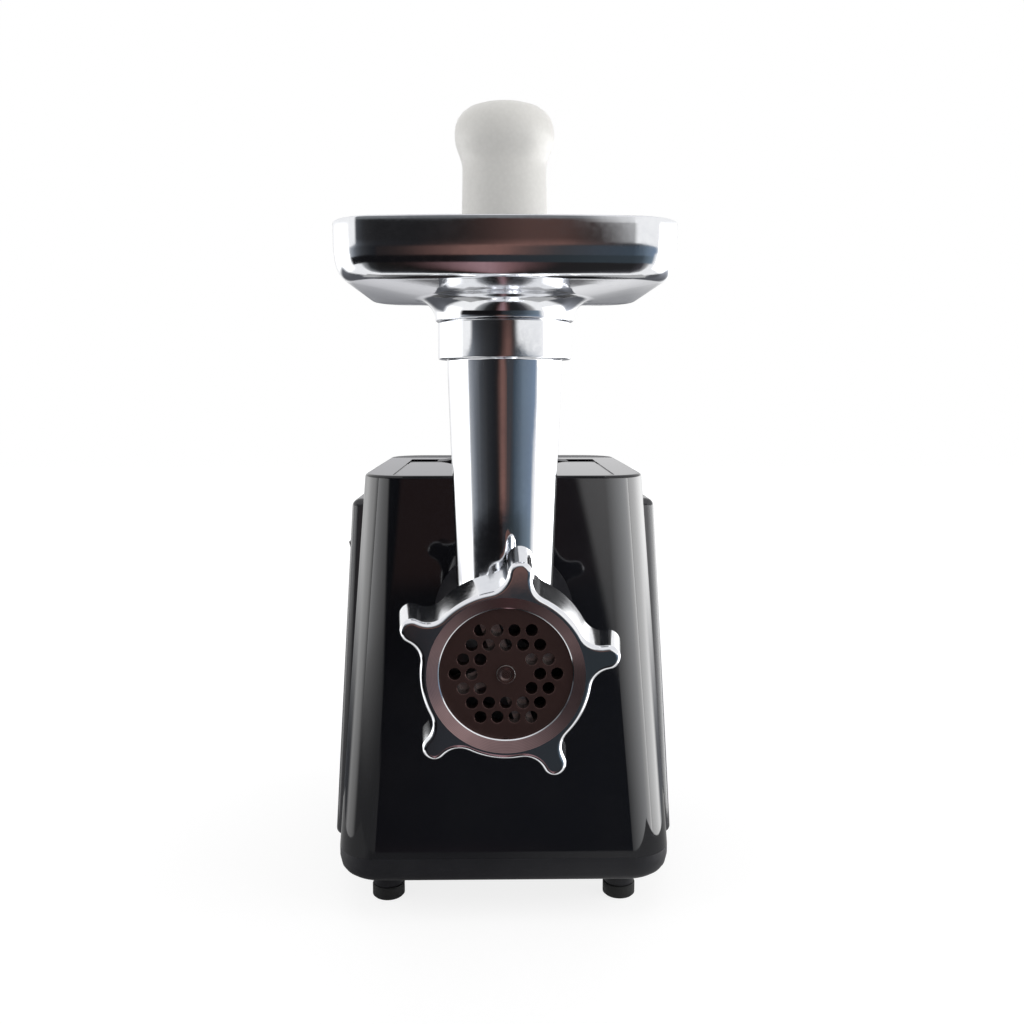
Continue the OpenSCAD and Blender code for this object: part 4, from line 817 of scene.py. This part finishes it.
@dataclass
class Hopper:
    """The tray on the feed tube, and the pusher. Sizes are in millimetres.

    Attributes:
        wall: Thickness of the tray's metal.
        corner: Corner radius of the tray.
        bow: How far the tray's front bows out.
        draw_in: How far the sweep draws the floor in.
        square: How square the wall's profile is: 1 for an ellipse, less for a squarer one.
        bowl: Radius of the round foot of the bowl.
        bowl_rise: Height of the bowl's foot over the collar.
        neck: Radius of the neck under the bowl.
        seat: Radius of the spigot in the collar.
        seat_h: Height of the spigot.
        throat: Radius of the throat.
        slim: How much slimmer the pusher's foot is than its knob.
        pusher_wall: Thickness of the foot's wall.
        knob: The knob's half profile, as radius and depth under its top.
        rise: Depth under the knob's top at which the stem starts.
    """

    wall: float = 1.6
    corner: float = 18.0
    bow: float = 2.5
    draw_in: float = 8.5
    square: float = 0.62
    bowl: float = 38.0
    bowl_rise: float = 9.4
    neck: float = 28.2
    seat: float = 24.1
    seat_h: float = 9.7
    throat: float = 21.0
    slim: float = 3.3
    pusher_wall: float = 3.2
    knob: tuple[Pair, ...] = (
        (0, 0), (4, 0.05), (8, 0.35), (12, 1.15), (15, 2.25), (17.2, 3.9), (18.8, 6.0), (19.7, 8.4), (20.0, 10.8),
        (19.95, 13.2), (19.6, 15.6), (18.9, 17.8), (18.1, 19.9), (17.4, 21.9), (17.05, 24), (17.0, 27), (17.15, 34))
    rise: float = 53.0

    def build(self) -> None:
        """Makes the tray and the pusher."""
        self._tray()
        self._pusher()

    def _tray(self) -> None:
        """Makes the tray as one skin: up the outside, over the rim and down the inside."""
        low, high = limits("hopper_tray")
        centre = Vector((0, TUBE_Y / MM, 0))
        width, depth = high.x - low.x, 2 * (high.y - centre.y)
        gap, rim, foot = 0.3, 1.2, 2.2  # over the collar, under the rim and above the floor
        collar = low.z + self.seat_h + gap
        floor = collar + self.bowl_rise - gap
        wall_h = high.z - rim - self.wall - floor - foot
        form = Form()

        def level(z: float, inset: float) -> Loop:
            """The tray's outline at a height, drawn in by an inset."""
            return form.level(z, width - 2 * inset, depth - 2 * inset, self.corner - inset / 2, centre, bow=self.bow)

        def circle(z: float, radius: float) -> Loop:
            """A circle round the feed tube's axis."""
            return form.level(z, 2 * radius, 2 * radius, radius, centre)

        def sweep(share: float, skin: float) -> Loop:
            """The tray's outline at a share of the wall's sweep, outside or a wall's thickness inside."""
            a = math.radians(90 * share)
            rise, reach = 1 - math.cos(a) ** self.square, 1 - math.sin(a) ** self.square
            return level(floor + foot + skin + wall_h * rise, skin + self.draw_in * reach)

        loops = [circle(low.z, self.seat - 0.6), circle(low.z + 0.6, self.seat), circle(collar, self.seat),
                 circle(collar, self.neck - 0.5), circle(collar + 0.4, self.neck)]
        bowl, hollow = self.bowl - gap, floor - collar
        for i in range(1, 9):
            h = hollow * math.sin(math.radians(i * 11.0))
            loops.append(circle(collar + 0.4 + h * 0.95,
                                bowl - (bowl - self.neck) * math.sqrt(1 - (h / hollow) ** 2)))
        shares = [i / 14 for i in range(15)]
        loops += [sweep(share, 0) for share in shares]
        loops += [level(high.z - down, inset) for down, inset in
                  ((0.7, 0), (0.25, 0.12), (0, 0.5), (0, 1.1), (0.25, 1.48), (0.7, self.wall))]
        loops += [sweep(share, self.wall) for share in reversed(shares)]
        inside = floor + self.wall
        loops += [circle(inside, self.bowl - 5), circle(inside - 1.5, self.bowl - 8.5),
                  circle(inside - 6, self.throat), circle(low.z + 0.6, self.throat), circle(low.z, self.throat + 0.5)]
        form.skin(loops).place("spun_tray", "tray", ALUMINIUM, ("hopper_tray",), smooth=40)

    def _pusher(self) -> None:
        """Turns the pusher: hollow stem, waist and domed knob."""
        low, high = limits("pusher")
        foot = high.x - self.slim
        bore = foot - self.pusher_wall
        outside = [(r, high.z - h) for r, h in (*self.knob, (17.5, self.rise), (17.45, self.rise + 4))]
        outside += [(foot, low.z + 6), (foot, low.z + 1.6), (foot - 0.5, low.z + 0.5), (foot - 1.6, low.z)]
        inside = [(bore, low.z), (bore, low.z + 6), (14.5, high.z - self.rise), (14.0, high.z - 24),
                  (10.5, high.z - 11), (0, high.z - 10.5)]
        form = Form.turned(outside + inside, Vector((0, TUBE_Y / MM, 0)), Z, 96)
        form.place("turned_pusher", "pusher", WHITE_PLASTIC, ("pusher",), smooth=50)


class Restyled(Enum):
    """CAD nodes that keep their form and get rounded edges: the rounding in millimetres and the smoothing angle."""

    base_tray = (0.0, 40)
    legs = (0.5, 32)
    rubber_feet = (0.5, 40)
    base_screws = (0.15, 32)
    cover_screws = (0.15, 32)
    top_panel = (0.3, 32)
    carry_handle = (1.4, 40)
    head_socket_ring = (0.5, 32)
    lock_button = (0.7, 40)
    rocker_bezel = (0.4, 32)
    power_rocker = (0.5, 32)
    reverse_button = (0.6, 40)
    cord_gland = (0.8, 40)
    auger = (0.4, 40)
    cross_knife = (0.15, 32)
    plate_key = (0.0, 32)
    barrel_bush = (0.2, 32)
    drive_shank = (0.3, 32)

    def build(self) -> None:
        """Makes the rounded piece that stands for the node."""
        width, smooth = self.value
        form = Form.of_node(self.name)
        if width:
            form.bevel(width, 3, 45)
        finish = SPECIAL.get(self.name, BY_SLOT[SLOTS[self.name]])
        form.place("rounded_" + self.name, frame["nodes"][self.name]["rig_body"], finish, (self.name,), smooth)


# Nodes whose finish isn't the usual one of their slot, and every node's slot. The cross knife's near-black is painted
# shade for the plate's holes, through which it shows.
SPECIAL = {"cross_knife": KNIFE_PAINTED_SHADE, "auger": ROUGH_CAST}
SLOTS = {part["node"]: part["material_slot"] for part in frame["record"]["subparts"]}


# ---- Studio ----


# What metal mirrors round the horizon: a ray's turn to the right of the camera's side, in degrees, and its tone.
LEVEL_TONES = (
    (-76, (0.4, 0.42, 0.45)), (-68, (0.24, 0.26, 0.29)), (-60, (0.12, 0.13, 0.145)),
    (-49, (0.06, 0.064, 0.072)), (-40, (0.04, 0.042, 0.046)), (-22, (0.014, 0.015, 0.018)),
    (-16, (0.022, 0.018, 0.018)), (-11, (0.1, 0.056, 0.05)), (-5, (0.2, 0.108, 0.093)), (0, (0.19, 0.102, 0.088)),
    (4, (0.1, 0.065, 0.06)), (9, (0.05, 0.05, 0.055)), (19, (0.05, 0.068, 0.09)), (42, (0.16, 0.21, 0.27)),
    (67, (0.22, 0.29, 0.4)), (180, (0.2, 0.27, 0.386)))
DIM_TONES = (
    (-7, (0.006, 0.006, 0.007)), (-3, (0.022, 0.027, 0.033)), (10, (0.028, 0.036, 0.042)), (30, (0.05, 0.065, 0.08)),
    (60, (0.2, 0.26, 0.32)))
LOW_TONES = (
    (-180, (0.3, 0.3, 0.32)), (-60, (0.6, 0.6, 0.6)), (-48, (0.3, 0.31, 0.32)), (-34, (0.03, 0.031, 0.033)),
    (-17, (0.008, 0.0075, 0.007)), (-13, (0.06, 0.034, 0.034)), (-8, (0.22, 0.13, 0.14)),
    (-3, (0.34, 0.21, 0.23)), (1, (0.22, 0.12, 0.125)), (5, (0.07, 0.042, 0.042)), (10, (0.017, 0.016, 0.017)),
    (24, (0.02, 0.02, 0.021)), (37, (0.055, 0.053, 0.06)), (60, (0.6, 0.6, 0.6)), (180, (0.3, 0.3, 0.32)))


@dataclass(frozen=True)
class Card:
    """A standing card of light that a glossy wall mirrors.

    Attributes:
        name: The card's name.
        inner: X and Y of the end near the camera.
        outer: X and Y of the far end.
        near: Rise of the glow with height.
        near_at: Height share at which that glow starts.
        least: The least of that glow.
        far: Glow that grows towards the far end.
        graded: Share of that glow that fades downwards.
        fade: Height shares between which it fades.
        slant: Lean of the inner edge.
        edge_at: Height share at which the inner edge is at its place.
        edge: Place of the inner edge along the card.
        soft: Half the width of its soft border.
        middle: Height of the card's middle.
        height: Height of the card.
    """

    name: str
    inner: Pair
    outer: Pair
    near: float
    near_at: float
    least: float
    far: float
    graded: float
    fade: Pair
    slant: float
    edge_at: float
    edge: float
    soft: float
    middle: float = -0.005
    height: float = 0.55


RIGHT_CARD = Card("right_card", inner=(0.07, -0.494), outer=(0.708, -0.196), near=2.6, near_at=0.31, least=0.0,
                  far=5.6, graded=0.0, fade=(0.3, 0.7), slant=0.185, edge_at=0.697, edge=0.031, soft=0.006)
LEFT_CARD = Card("left_card", inner=(-0.135, -0.494), outer=(-0.667, -0.153), near=0.0, near_at=0.0, least=0.3,
                 far=3.0, graded=1.0, fade=(0.3, 0.72), slant=-0.8, edge_at=0.33, edge=0.0, soft=0.05)
GLOSSY_PIECES = ("moulded_housing_shell", "moulded_side_panel_left", "moulded_side_panel_right")


@dataclass
class Studio:
    """Floor, lamps, surroundings and camera.

    Attributes:
        camera_at: The camera's place.
        camera_turn: Its turn round X, Y and Z, in degrees.
        lens: Its focal length, in millimetres.
        aim: The point that the soft lamps face.
        softboxes: Name, place, size and power of each soft lamp.
        level: The even light of the surroundings.
        right_glow: How much brighter the right softbox mirrors than white.
        left_glow: How much brighter the left one does.
    """

    camera_at: tuple[float, float, float] = (-0.0032, -0.49425, 0.2595)
    camera_turn: tuple[float, float, float] = (83.2, 0.0, -0.86)
    lens: float = 35.156
    aim: tuple[float, float, float] = (0.0, -0.05, 0.2)
    softboxes: tuple = (("left_softbox", (-0.9, -0.35, 0.5), 0.8, 2.8), ("right_softbox", (0.9, -0.35, 0.5), 0.8, 5.2),
                        ("top_softbox", (0.0, 0.1, 1.2), 1.0, 3.0))
    level: float = 0.45
    right_glow: float = 6.0
    left_glow: float = 2.4

    def build(self) -> None:
        """Sets up the whole studio."""
        self._camera()
        self._floor()
        self._near_floor()
        self._lamps()
        self._surroundings()
        bpy.context.scene.view_settings.view_transform = "Standard"

    def _camera(self) -> None:
        """Places the camera."""
        data = bpy.data.cameras.new("camera")
        data.lens, data.sensor_width, data.clip_start = self.lens, 36.0, 0.01
        camera = put("camera", data)
        camera.location = self.camera_at
        camera.rotation_euler = [math.radians(a) for a in self.camera_turn]
        bpy.context.scene.camera = camera

    def _sheet(self, name: str, size: Pair, middle: Pair, height: float) -> tuple[bpy.types.Object, Graph]:
        """Lays a level sheet with an empty material.

        Args:
            name: The sheet's name.
            size: Its size along X and Y.
            middle: X and Y of its middle.
            height: Its height.

        Returns:
            The sheet and its material's graph.
        """
        bm = bmesh.new()
        bmesh.ops.create_grid(bm, x_segments=1, y_segments=1, size=0.5)
        bmesh.ops.scale(bm, vec=(*size, 1), verts=bm.verts)
        bmesh.ops.translate(bm, vec=(*middle, 0), verts=bm.verts)
        mesh = bpy.data.meshes.new(name)
        bm.to_mesh(mesh)
        bm.free()
        mesh.materials.append(bpy.data.materials.new(name))
        sheet = put(name, mesh)
        sheet.location.z = height
        return sheet, Graph(mesh.materials[0])

    def _floor(self) -> None:
        """Lays the pale floor, which keeps the object's shadow and turns white away from it."""
        floor, graph = self._sheet("floor", (6.0, 6.0), (0.0, 0.0), -0.0002)
        floor.visible_glossy = False
        x, y, _ = graph.axes(graph.place())
        away = graph.step(graph.length(x, y), 0.15, 0.6)
        white = graph.add("ShaderNodeLightPath", output="Is Camera Ray") * (0.72 + away * 0.28)
        lit = graph.add("ShaderNodeBsdfDiffuse", None, {"Color": (0.86, 0.86, 0.86, 1)})
        glow = graph.add("ShaderNodeEmission", None, {"Color": (1, 1, 1, 1), "Strength": 1.15})
        surface = graph.add("ShaderNodeMixShader", None, {0: white, 1: lit, 2: glow})
        graph.add("ShaderNodeOutputMaterial", None, {"Surface": surface})

    def _near_floor(self) -> None:
        """Lays a glowing sheet under the object which only mirrors show: a painted reflection of the floor in the
        object's shade, dark in the middle and brighter at both sides.
        """
        shade_sheet, graph = self._sheet("near_floor", (0.38, 0.235), (0.0, 0.0125), -0.0001)
        shade_sheet.visible_camera = shade_sheet.visible_diffuse = shade_sheet.visible_shadow = shade_sheet.visible_transmission = False
        x = graph.axes(graph.place())[0]
        # Painted shade: darkest under the object's middle, brighter towards both sides.
        shade = 0.17 + graph.step(x * -1, 0.09, 0.13) * 0.25 + graph.step(x, -0.03, 0.07) * 0.3
        tone = graph.mix(shade, (0, 0, 0), (1, 1, 1))
        glow = graph.add("ShaderNodeEmission", None, {"Color": tone, "Strength": 1.0})
        graph.add("ShaderNodeOutputMaterial", None, {"Surface": glow})

    def gloss_cards(self, pieces: Sequence[str]) -> None:
        """Stands two graded cards beside the camera, which only the glossy shell mirrors.

        Args:
            pieces: The objects that mirror the cards.
        """
        mirrors = bpy.data.collections.new("glossy_pieces")
        for name in pieces:
            mirrors.objects.link(bpy.data.objects[name])
        for card in (RIGHT_CARD, LEFT_CARD):
            start, end = Vector((*card.inner, card.middle)), Vector((*card.outer, card.middle))
            data = bpy.data.lights.new(card.name, "AREA")
            data.shape, data.size, data.size_y = "RECTANGLE", (end - start).length, card.height
            data.energy = math.pi * data.size * data.size_y
            graph = Graph(data)
            u, v, _ = graph.axes(graph.add("ShaderNodeNewGeometry", output="Parametric"))
            if card.inner[0] < 0:
                u = 1 - u
            inside = graph.step(u + card.slant * (v - card.edge_at), card.edge - card.soft, card.edge + card.soft)
            near = graph.math("MAXIMUM", (v - card.near_at) * card.near, card.least)
            far = u * card.far * (graph.step(v, *card.fade) * card.graded + 1 - card.graded)
            glow = graph.add("ShaderNodeEmission", None, {"Color": (1, 1, 1, 1), "Strength": (near + far) * inside})
            graph.add("ShaderNodeOutputLight", None, {"Surface": glow})
            lamp = put(card.name, data)
            lamp.location = (start + end) / 2
            facing = (end - start).cross(Z)
            facing = facing if facing.y > 0 else -facing
            lamp.rotation_euler = facing.to_track_quat("-Z", "Y").to_euler()
            lamp.visible_camera = False
            lamp.light_linking.receiver_collection = mirrors

    def _lamps(self) -> None:
        """Hangs the soft lamps, which metal doesn't mirror."""
        for name, at, size, watts in self.softboxes:
            data = bpy.data.lights.new(name, "AREA")
            data.size, data.energy = size, watts
            lamp = put(name, data)
            lamp.location = at
            lamp.rotation_euler = (Vector(self.aim) - Vector(at)).to_track_quat("-Z", "Y").to_euler()
            lamp.visible_glossy = False

    def _tones(self, graph: Graph, azimuth: Value, tones: Sequence[tuple[float, Colour]]) -> Value:
        """The colour towards a ray's turn, from tones round the horizon."""
        return graph.add("ShaderNodeValToRGB", {"stops": [((a + 180) / 360, c) for a, c in tones]},
                         {"Fac": azimuth * (1 / 360) + 0.5})

    def _room(self, graph: Graph, azimuth: Value, rise: Value) -> tuple[Value, Value]:
        """Paints the room that metal mirrors; every angle is in degrees.

        Args:
            graph: The world's graph.
            azimuth: The ray's turn from the camera's side, to the right.
            rise: The ray's angle above the horizon.

        Returns:
            The colour and the strength towards the ray.
        """
        side, drop = graph.math("ABSOLUTE", azimuth), rise * -1
        above, low = graph.step(rise, 0, 3), graph.step(drop, 24.5, 28)
        # The white softboxes start further round at some heights than at others.
        right_end = 68 - above * 48.5 - graph.step(rise, 8.5, 10) * 3 - graph.step(drop, 4, 8) * 6 - low * 8
        left_end = 78 - above * 19 - low * 24
        boxes = graph.math("MAXIMUM", graph.step(azimuth - right_end, -5, 5),
                           graph.step(azimuth * -1 - left_end, -4, 4))
        table = graph.step(side, 108, 125) * graph.step(drop, 4, 18) * (1 - graph.step(drop, 50, 64))
        behind = graph.step(side, 167, 172) * graph.step(rise, -40, -20)
        wall = graph.mix(graph.step(azimuth, -90, 90), (0.66, 0.66, 0.68), (0.82, 0.82, 0.83))
        wall = graph.mix(graph.step(rise, -14, 1) * (1 - above), wall, (0.16, 0.165, 0.18))
        room = self._tones(graph, azimuth - graph.step(rise, -1, 2) * 9, LEVEL_TONES)
        layers = (
            (graph.step(rise, 0, 6) * 0.6, (0.012, 0.011, 0.011)),  # darker just above the horizon
            (graph.step(rise, 12, 14), (0.19, 0.2, 0.21)),  # grey higher up
            (graph.step(drop, 10, 11.6) * 0.97, self._tones(graph, azimuth, DIM_TONES)),
            (low, self._tones(graph, azimuth, LOW_TONES)),
            (boxes, (1, 1, 1)),
            (table * 0.93, (0.03, 0.034, 0.045)),
            (behind, wall),
            (graph.step(rise, 22, 40), (0.9, 0.9, 0.92)))  # the ceiling
        for share, tone in layers:
            room = graph.mix(share, room, tone)
        # The softboxes are brightest beside the object.
        right = graph.step(azimuth, 68, 80) * (1 - graph.step(azimuth, 105, 170)) * (1 - graph.step(drop, 16, 28) * 0.5)
        left = graph.step(side, 74, 92) * (1 - graph.step(azimuth, -90, 0)) * (1 - graph.step(side, 112, 155))
        left = left * (1 - graph.step(drop, 4, 22) * 0.7)
        band = (1 - graph.step(rise, 2, 12)) * (1 - graph.step(drop, 28, 42))
        return room, 1 + (right * self.right_glow + left * self.left_glow) * band

    def _surroundings(self) -> None:
        """Makes the world: white to the camera, the painted room in metal, and even light for the rest."""
        world = bpy.data.worlds.new("studio")
        bpy.context.scene.world = world
        graph = Graph(world)
        x, y, z = graph.axes(graph.add("ShaderNodeTexCoord", output="Generated"))
        azimuth = graph.math("ARCTAN2", x, y * -1) * math.degrees(1)
        rise = graph.math("ARCSINE", z) * math.degrees(1)
        tones = (self._room(graph, azimuth, rise), ((1, 1, 1, 1), self.level), ((1, 1, 1, 1), 1.0))
        mirrored, level, white = [graph.add("ShaderNodeBackground", None, {"Color": colour, "Strength": strength})
                                  for colour, strength in tones]
        glossy = graph.add("ShaderNodeLightPath", output="Is Glossy Ray")
        camera = graph.add("ShaderNodeLightPath", output="Is Camera Ray")
        lit = graph.add("ShaderNodeMixShader", None, {0: glossy, 1: level, 2: mirrored})
        seen = graph.add("ShaderNodeMixShader", None, {0: camera, 1: lit, 2: white})
        graph.add("ShaderNodeOutputWorld", None, {"Surface": seen})


def dress_frame() -> None:
    """Gives every CAD node that shows its finish."""
    for name, node in frame["nodes"].items():
        node.data.materials.clear()
        node.data.materials.append(BY_SLOT[SLOTS[name]].material())


def main() -> None:
    """Builds the studio and every sub-assembly."""
    logging.basicConfig(level=logging.INFO, format="%(message)s")
    studio = Studio()
    studio.build()
    dress_frame()
    Body().build()
    Head().build()
    Hopper().build()
    for part in Restyled:
        part.build()
    studio.gloss_cards(GLOSSY_PIECES)
    bpy.context.view_layer.update()


if __name__ == "__main__":
    main()
